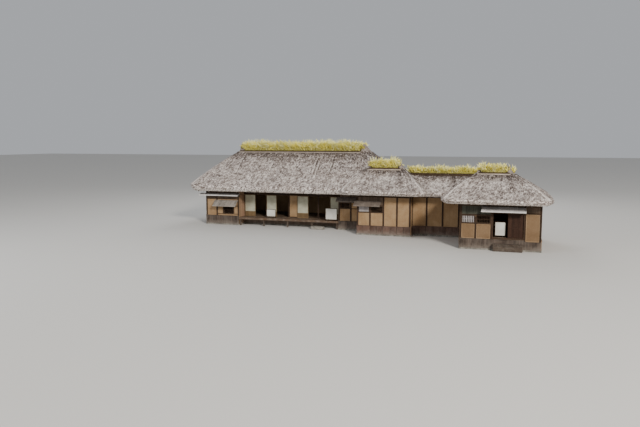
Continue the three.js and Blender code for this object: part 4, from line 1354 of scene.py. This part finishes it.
# Windows and upper boards
windows = {
    "wing_left_shutter": {
        "wall": wingFront, "box": (cornerSide, bay - 0.06, sill, head),
        "bars": 6, "wide": 0.118, "look": "paleSlats"},
    "wing_right_bars": {
        "wall": wingFront, "box": (bay + 0.06, 2 * bay - 0.06, sill, head),
        "bars": 9, "wide": 0.024, "look": "darkTimber"},
    "main_left_bars": {
        "wall": mainLeftFront, "box": (mainL + bay * 1.6, mainL + bay * 2.48, 0.9, 1.5),
        "bars": 8, "wide": 0.026, "look": "darkTimber"},
    "main_right_bars": {
        "wall": mainRightFront, "box": (sideR + cornerSide, -bay - 0.06, sill, head),
        "bars": 8, "wide": 0.024, "look": "darkTimber"},
    "room_left_slats": {
        "wall": roomFront, "box": (roomL + cornerSide, roomL + bay - 0.06, sill, head + 0.05),
        "bars": 7, "wide": 0.06, "look": "paleSlats"},
    "room_right_bars": {
        "wall": roomFront, "box": (roomL + bay + 0.06, doorL - 0.075, sill, head + 0.05),
        "bars": 8, "wide": 0.024, "look": "darkTimber"},
}
for name, window in windows.items():
    wall, (u0, u1, z0, z1) = window["wall"], window["box"]
    slats, rim, edge = newStock(), newStock(), wallMake["rimWide"]
    addRim(rim, wall, window["box"], edge, wallMake["rimDepth"], 0.003)
    step = (u1 - u0 - 2 * edge) / window["bars"]
    half = min(window["wide"], step - 0.004) / 2
    for i in range(window["bars"]):
        u = u0 + edge + step * (i + 0.5)
        addWallBlock(slats, wall, (u - half, u + half), wallMake["slatDepth"], (z0 + 0.02, z1 - 0.02), 0.003,
                     along=2)
    low, high = (z0 + z1) / 2 - wallMake["bar"] / 2, (z0 + z1) / 2 + wallMake["bar"] / 2
    addWallBlock(slats, wall, (u0 + 0.02, u1 - 0.02), wallMake["barDepth"], (low, high), 0.003)
    finishStock(name, slats, window["look"])
    finishStock(name + "_frame", rim)

upperBoards = {
    "wing_upper_boards": {
        "wall": wingFront, "box": (0.06, 1.88, head + 0.09, beam), "wide": 0.21, "look": "bandBoards"},
    "main_left_upper_boards": {
        "wall": mainLeftFront, "box": (mainL + 0.06, sideL - 0.06, 2.14, beam),
        "wide": 0.24, "look": "bandBoards"},
    "main_right_upper_boards": {
        "wall": mainRightFront, "box": (sideR + 0.06, -0.06, head + 0.07, beam),
        "wide": 0.22, "look": "bandBoards"},
    "room_upper_boards": {
        "wall": roomFront, "box": (roomL + 0.06, doorL - 0.07, head + 0.13, beam),
        "wide": 0.14, "look": "greyGreenBoards"},
    "room_over_door_boards": {
        "wall": roomFront, "box": (doorL + 0.07, doorR - 0.06, 2.4, beam),
        "wide": 0.2, "look": "greyGreenBoards"},
    "room_right_upper_boards": {
        "wall": roomFront, "box": (doorR + 0.06, roomR - 0.12, 2.38, beam),
        "wide": 0.2, "look": "bandBoards"},
}
for name, band in upperBoards.items():
    u0, u1, z0, z1 = band["box"]
    stock = newStock()
    edges = np.linspace(u0, u1, max(1, round((u1 - u0) / band["wide"])) + 1)
    for a, b in zip(edges[:-1], edges[1:]):
        face = 0.012 + chance.uniform(0, 0.003)
        addWallBlock(stock, band["wall"], (a + 0.001, b - 0.001), (face, 0.032), (z0, z1), 0.004, along=2)
    finishStock(name, stock, band["look"])
print("windows barred")

# Board roofs over the windows
pents = {
    # the two pale board roofs carry painted sunlight in their finish
    "main_left_upper_pent": {
        "x": (-13.49, -10.08), "y": 0.0, "z": 2.52, "reach": 0.45, "drop": 0.11,
        "arms": 5, "look": "palePent"},
    "main_left_window_pent": {
        "x": (-12.29, -10.27), "y": 0.0, "z": 2.000, "reach": 0.5, "drop": 0.43,
        "arms": 3, "look": "pentBoards"},
    "main_right_pent": {
        "x": (-2.04, -0.54), "y": 0.0, "z": 2.5, "reach": 0.4, "drop": 0.29,
        "arms": 3, "look": "brownPent"},
    "wing_pent": {
        "x": (-0.15, 1.78), "y": rangeFront, "z": 2.47, "reach": 0.45, "drop": 0.31,
        "arms": 3, "look": "brownPent"},
    "room_pent": {
        "x": (8.88, 11.5), "y": roomFace, "z": 2.7, "reach": 0.52, "drop": 0.23,
        "arms": 4, "look": "palePent"},
}

pentMake = {"board": 0.235, "lapEvery": 0.48, "lap": 0.03, "armHalf": 0.02, "strutHalf": 0.016}


# Eight corners of a bar from the wall to the front; under and over give its two ends' heights.
def barCorners(x, wallY, frontY, under, over):
    a, b = x
    rings = [[(a, wallY, back), (b, wallY, back), (b, frontY, tip), (a, frontY, tip)]
             for back, tip in (under, over)]
    return rings[0] + rings[1]


def makePent(name, pent):
    (x0, x1), y, z = pent["x"], pent["y"] - hair, pent["z"]
    angle = math.atan2(pent["drop"], pent["reach"])
    long = math.hypot(pent["drop"], pent["reach"])
    spin = Matrix.Translation((0, y, z)) @ Matrix.Rotation(angle, 4, "X")
    boards, under = newStock(), newStock()
    count = max(3, round((x1 - x0) / pentMake["board"]))
    step = (x1 - x0) / count
    for i in range(count):
        a = x0 + i * step
        lowEnd = (a + 0.001, -long - chance.uniform(0, 0.004), -0.024)
        highEnd = (a + step - 0.001, -0.002, -0.002 - chance.uniform(0, 0.003))
        addBlock(boards, lowEnd, highEnd, 0.003, spin=spin, along=1)
    laps = round((x1 - x0) / pentMake["lapEvery"])
    for i in range(laps + 1):
        a = x0 + 0.008 + (x1 - x0 - 0.046) * i / laps
        lapEnd = (a + pentMake["lap"], -0.003, 0.017)
        addBlock(boards, (a, -long + 0.002, -0.003), lapEnd, 0.003, spin=spin, along=1)
    front, low = y - pent["reach"], z - pent["drop"]
    addBlock(boards, (x0, front - 0.012, low - 0.06), (x1, front + 0.01, low + 0.004), 0.004, tone=0.95)
    addBlock(under, (x0 + 0.02, y - 0.045, z - 0.085), (x1 - 0.02, y, z - 0.03), 0.005)
    addBlock(under, (x0 + 0.03, front + 0.012, low - 0.058), (x1 - 0.03, front + 0.05, low - 0.026), 0.004)
    for i in range(pent["arms"]):
        x = x0 + 0.09 + (x1 - x0 - 0.18) * i / (pent["arms"] - 1)
        # an arm under the boards and a strut from the wall to its end
        arm, strut = pentMake["armHalf"], pentMake["strutHalf"]
        addWedge(under, barCorners((x - arm, x + arm), y, front + 0.02,
                                   (z - 0.075, low - 0.058), (z - 0.026, low - 0.024)))
        addWedge(under, barCorners((x - strut, x + strut), y, front + 0.06,
                                   (low - 0.06, low - 0.056), (low - 0.015, low - 0.03)))
    finishStock(name + "_boards", boards, pent["look"], replaces=[name])
    finishStock(name + "_brackets", under)


for name, pent in pents.items():
    makePent(name, pent)
print("board roofs made")

# Veranda
veranda = {
    "boards": 7, "joints": ((0.44, 0.8), (0.26, 0.62)), "legs": 5, "cheekBoard": 0.243, "upperBoards": 36,
    "posts": {"left": -8.5, "middle": -4, "right": -3}, "bayPosts": (-6.5, -5),
    "headLow": 2.4, "headTop": 2.51, "postLow": 0.6503, "postTop": 2.3997,
}


def makeVeranda():
    m, left, right, back = veranda, sideL + hair, sideR - hair, verandaWall
    deck, legs, beamWood, upper, bayWood = (newStock() for part in range(5))
    rows = np.linspace(0.062, back - 0.002, m["boards"] + 1)
    for row, (a, b) in enumerate(zip(rows[:-1], rows[1:])):
        cuts = [left + (right - left) * share for share in (0, *m["joints"][row % 2], 1)]
        for c, d in zip(cuts[:-1], cuts[1:]):
            top = 0.639 - chance.uniform(0, 0.0015)
            addBlock(deck, (c + 0.001, a + 0.0012, 0.606), (d - 0.001, b - 0.0012, top), 0.003)
    addBlock(deck, (left, -0.02, 0.49), (right, 0.06, 0.64), 0.008, tone=0.55)
    for i in range(m["legs"]):
        x = left + 0.11 + (right - left - 0.22) * i / (m["legs"] - 1)
        addBlock(legs, (x - 0.05, 0.0, 0.0), (x + 0.05, 0.098, 0.489), 0.006)
        addBlock(legs, (x - 0.04, 0.098, 0.515), (x + 0.04, back - 0.032, 0.604), 0.006)
    finishStock("veranda_deck_boards", deck, "deckBoards", replaces=["veranda_deck"])
    finishStock("veranda_deck_legs", legs)

    for key, x0, face, side in (("left", sideL - 0.12, sideL, 1), ("right", sideR, sideR, -1)):
        cheek = newStock()
        edges = [cornerDeep + m["cheekBoard"] * k for k in range(4)] + [1.11]
        for a, b in zip(edges[:-1], edges[1:]):
            top = min(underThatch(x, y) for x in (x0, x0 + 0.12) for y in (a, b))
            addBlock(cheek, (x0 + 0.002, a, foot), (x0 + 0.118, b, top), 0.006, along=2)
        near, far = min(face, face + side * 0.003) - 0.001, max(face, face + side * 0.003) + 0.001
        for z in (0.66, 1.72, 2.4):
            addBlock(cheek, (near, 0.13, z), (far, 1.06, z + 0.045), 0.001, tone=0.1)
        finishStock("veranda_" + key + "_cheek_boards", cheek, "tanBoards",
                    replaces=["veranda_" + key + "_side_boards"])

    addBlock(beamWood, (left, back, foot), (right, back + 0.14, 0.65), 0.006)
    finishStock("veranda_sill_beam", beamWood, "deckBoards", replaces=["veranda_sill"])
    addBlock(upper, (left, back, m["headLow"]), (right, back + 0.14, m["headTop"]), 0.008)
    edges = np.linspace(left, right, m["upperBoards"] + 1)
    for a, b in zip(edges[:-1], edges[1:]):
        top = min(underThatch(x, y) for x in (a, b) for y in (back + 0.03, back + 0.14))
        addBlock(upper, (a + 0.0008, back + 0.03, 2.505), (b - 0.0008, back + 0.138, top), 0.004, along=2)
    addBlock(upper, (left, back + 0.018, 2.78), (right, back + 0.032, 2.83), 0.003)
    finishStock("veranda_upper_boards", upper, replaces=["veranda_wall"])
    for key, n in m["posts"].items():
        one = newStock()
        addBlock(one, (n * bay - 0.055, 1.048, m["postLow"]), (n * bay + 0.055, 1.11, m["postTop"]), 0.007)
        finishStock("veranda_post_" + key + "_timber", one, replaces=["veranda_post_" + key])
    first, last = (n * bay for n in m["bayPosts"])
    for x in (first, last):
        addBlock(bayWood, (x - 0.057, 1.045, m["postLow"]), (x + 0.057, 1.111, m["postTop"]), 0.007)
    addBlock(bayWood, (first + 0.05, 1.052, m["postLow"]), (last - 0.05, 1.075, 0.72), 0.005)
    finishStock("veranda_bay_posts", bayWood)


makeVeranda()

# Sliding leaves
leaves = {
    "shoji_far_left": {"x": -10.12, "wide": 0.93, "y": 1.012},
    "shoji_left": {"x": -8.215, "wide": 0.87, "y": 0.976},
    "shoji_middle": {"x": -5.6, "wide": 0.93, "y": 0.976},
    "shoji_right": {"x": -2.895, "wide": 0.9, "y": 1.012},
}
shojiMake = {
    "low": 0.655, "high": 2.395, "stile": 0.036, "panelTop": 0.36, "columns": 3, "rows": 8, "bar": 0.01,
}


# Two stiles and the rails between them.
def leafFrame(stock, x0, x1, y, heights, stile, rails, chamfer):
    for x in (x0, x1 - stile):
        addBlock(stock, (x, y, heights[0]), (x + stile, y + 0.03, heights[1]), chamfer)
    for a, b in rails:
        addBlock(stock, (x0 + stile, y + 0.001, a), (x1 - stile, y + 0.029, b), 0.003)


def makeShoji(name, leaf):
    m = shojiMake
    x0, x1, y = leaf["x"], leaf["x"] + leaf["wide"], leaf["y"]
    z0, z1, s, half = m["low"], m["high"], m["stile"], m["bar"] / 2
    wood, sheet = newStock(), newStock()
    panelTop = z0 + m["panelTop"]
    low, high = panelTop + 0.032, z1 - 0.045
    leafFrame(wood, x0, x1, y, (z0, z1), s, ((z0, z0 + 0.055), (panelTop, low), (high, z1)), 0.003)
    addBlock(wood, (x0 + s, y + 0.011, z0 + 0.05), (x1 - s, y + 0.019, panelTop + 0.01), 0.001, along=2)
    for i in range(1, m["columns"] + 1):
        x = x0 + s + (x1 - x0 - 2 * s) * i / (m["columns"] + 1)
        addBlock(wood, (x - half, y + 0.016, low), (x + half, y + 0.028, high), 0.0015)
    for i in range(1, m["rows"]):
        z = low + (high - low) * i / m["rows"]
        addBlock(wood, (x0 + s, y + 0.017, z - half), (x1 - s, y + 0.027, z + half), 0.0015)
    corner = (x0 + s - 0.004, y + 0.0135, low - 0.004)
    addBlock(sheet, corner, (x1 - s + 0.004, y + 0.0155, high + 0.004), 0.0004)
    body = name + "_leaf"
    finishStock(name + "_frame", wood, "lattice", body, [name])
    finishStock(name + "_paper", sheet, "shadedShojiPaper", body)


for name, leaf in leaves.items():
    makeShoji(name, leaf)

roomDoors = {
    "room_door_front": {"x": 10.465, "y": -5.525}, "room_door_rear": {"x": 10.46, "y": -5.489},
}
doorMake = {
    "wide": 0.92, "low": 0.785, "high": 2.285, "stile": 0.045, "middle": (1.35, 1.392),
    "boards": 5, "boardWide": 0.166,
}
for name, door in roomDoors.items():
    m, stock = doorMake, newStock()
    x0, x1, y, z0, z1 = door["x"], door["x"] + m["wide"], door["y"], m["low"], m["high"]
    rails = ((z0, z0 + 0.06), m["middle"], (z1 - 0.05, z1))
    leafFrame(stock, x0, x1, y, (z0, z1), m["stile"], rails, 0.004)
    for i in range(m["boards"]):
        a = x0 + m["stile"] + m["boardWide"] * i
        high = (a + m["boardWide"] - 0.0008, y + 0.021, z1 - 0.04)
        addBlock(stock, (a + 0.0008, y + 0.01, z0 + 0.05), high, 0.003, along=2)
    finishStock(name + "_boards", stock, "doorBoards", name + "_leaf", [name])
print("sliding leaves made")

# Framed screens with bare faces
screens = {
    "veranda_screen_left": {"x": (-8.06, -7.27), "y": 0.56, "z": (0.6403, 1.31)},
    "veranda_screen_right": {"x": (-3.01, -2.08), "y": 0.13, "z": (0.6403, 1.6)},
    "doorway_screen": {"x": (9.68, 10.34), "y": -5.23, "z": (0.7803, 1.74)},
}
for name, screen in screens.items():
    (x0, x1), y, (z0, z1), bar = screen["x"], screen["y"], screen["z"], 0.04
    wood, face = newStock(), newStock()
    for x in (x0, x1 - bar):
        addBlock(wood, (x, y, z0), (x + bar, y + 0.036, z1), 0.004)
        addBlock(wood, (x, y - 0.11, z0), (x + bar, y + 0.146, z0 + 0.038), 0.008)
    for z in (z1 - bar, z0 + 0.07):
        addBlock(wood, (x0 + bar, y + 0.001, z), (x1 - bar, y + 0.035, z + bar), 0.004)
    addBlock(face, (x0 + 0.038, y + 0.011, z0 + 0.108), (x1 - 0.038, y + 0.023, z1 - 0.038), 0.002)
    finishStock(name + "_frame", wood, replaces=[name])
    finishStock(name + "_face", face, "screenFace")


# Step stone, and steps at the room's doorway
def makeStepStone():
    low, high = (np.array(corner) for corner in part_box("veranda_step_stone"))
    centre, half = (low + high) / 2, (high - low) / 2
    rows, around, shoulder, square = 22, 72, 0.62, 3.2
    row, i = np.arange(rows + 1)[:, None], np.arange(around)[None]
    t = row / rows
    # a low boulder: steep sides up to the shoulder, then a worn, nearly flat top
    rise, side = np.minimum(1.0, t / shoulder), t < shoulder
    spread = np.where(side, 0.97 - 0.05 * rise, 0.92 * np.cos((t - shoulder) / (1 - shoulder) * math.pi / 2))
    z = low[2] + (high[2] - low[2]) * np.where(side, np.sin(rise * math.pi / 2) ** 0.8, 1.0)
    c, s = np.cos(2 * math.pi * i / around), np.sin(2 * math.pi * i / around)
    broad = ripple(i / 5.0 + 3, row / 4.0) - 0.5
    fine = ripple(i / 1.7 + 60, row / 1.5 + 9) - 0.5
    r = (abs(c) ** square + abs(s) ** square) ** (-1 / square)
    r = r * spread * (1 + 0.05 * broad + 0.012 * fine) * 0.965
    x, y = centre[0] + half[0] * c * r, np.minimum(centre[1] + half[1] * s * r, high[1] - 0.001)
    z = z - (0.01 + 0.012 * fine + 0.012 * broad) * (t > 0.1)
    points = np.stack([x, y, z], -1).reshape(-1, 3)
    faces = gridFaces(rows, around) + [tuple(range(around))[::-1]]
    made = makeMesh("veranda_step_boulder", points, faces)
    settle(made, "stepStone", replaces=["veranda_step_stone"], smooth=True)
    tidyMesh(made)


makeStepStone()

stairs = newStock()
stepBack = roomFace - 0.0353
stepL, stepR = doorL + 0.09, doorR - 0.08
addBlock(stairs, (stepL, stepBack - 0.42, 0.4), (stepR, stepBack - 0.212, 0.44), 0.006)
addBlock(stairs, (stepL, stepBack - 0.209, 0.4), (stepR, stepBack, 0.44), 0.006)
for k in range(3):
    z = 0.005 + 0.132 * k
    riser = (stepR - 0.06, stepBack - 0.372, z + 0.128)
    addBlock(stairs, (stepL + 0.06, stepBack - 0.396, z), riser, 0.005)
for x in (doorL + 0.11, doorR - 0.14):
    addBlock(stairs, (x, stepBack - 0.4, 0.0), (x + 0.04, stepBack - 0.002, 0.399), 0.006)
finishStock("room_step_boards", stairs, "stepBoards", replaces=["room_step"])


# Solids that stay get their finish
def finishSolid(solid, look):
    for slot in solid.material_slots:
        slot.material = bpy.data.materials[look]
    if not solid.material_slots:
        solid.data.materials.append(bpy.data.materials[look])


for name, solid in cad.items():
    if "plaster" in name or name.endswith(("_wall", "_walls", "_front")):
        # the room's front takes the darker plaster copy, which is painted shade
        finishSolid(solid, "shadedRoomPlaster" if name == "room_front" else "ochrePlaster")
    elif "footing" in name:
        finishSolid(solid, "footingStone")
    elif name in ("main_floor", "room_floor"):
        finishSolid(solid, "floorPlanks")
print("solids finished")


# Pale studio floor
floorPaint = bpy.data.materials.new("studioFloor")
floorPaint.use_nodes = True
shader = floorPaint.node_tree.nodes["Principled BSDF"].inputs
shader["Base Color"].default_value = paint("#cfccc6")
shader["Roughness"].default_value = 0.9
corners = np.array([(-220, -220, -0.002), (220, -220, -0.002), (220, 220, -0.002), (-220, 220, -0.002)])
floor = makeMesh("studio_floor", corners, [(0, 1, 2, 3)])
floor.data.materials.append(floorPaint)
tally = {o.name: sum(len(f.vertices) - 2 for f in o.data.polygons) for o in bpy.data.objects
         if o.type == "MESH" and o.name not in cad}
print("triangles in all", sum(tally.values()), "largest", sorted(tally.items(), key=lambda t: -t[1])[:6])
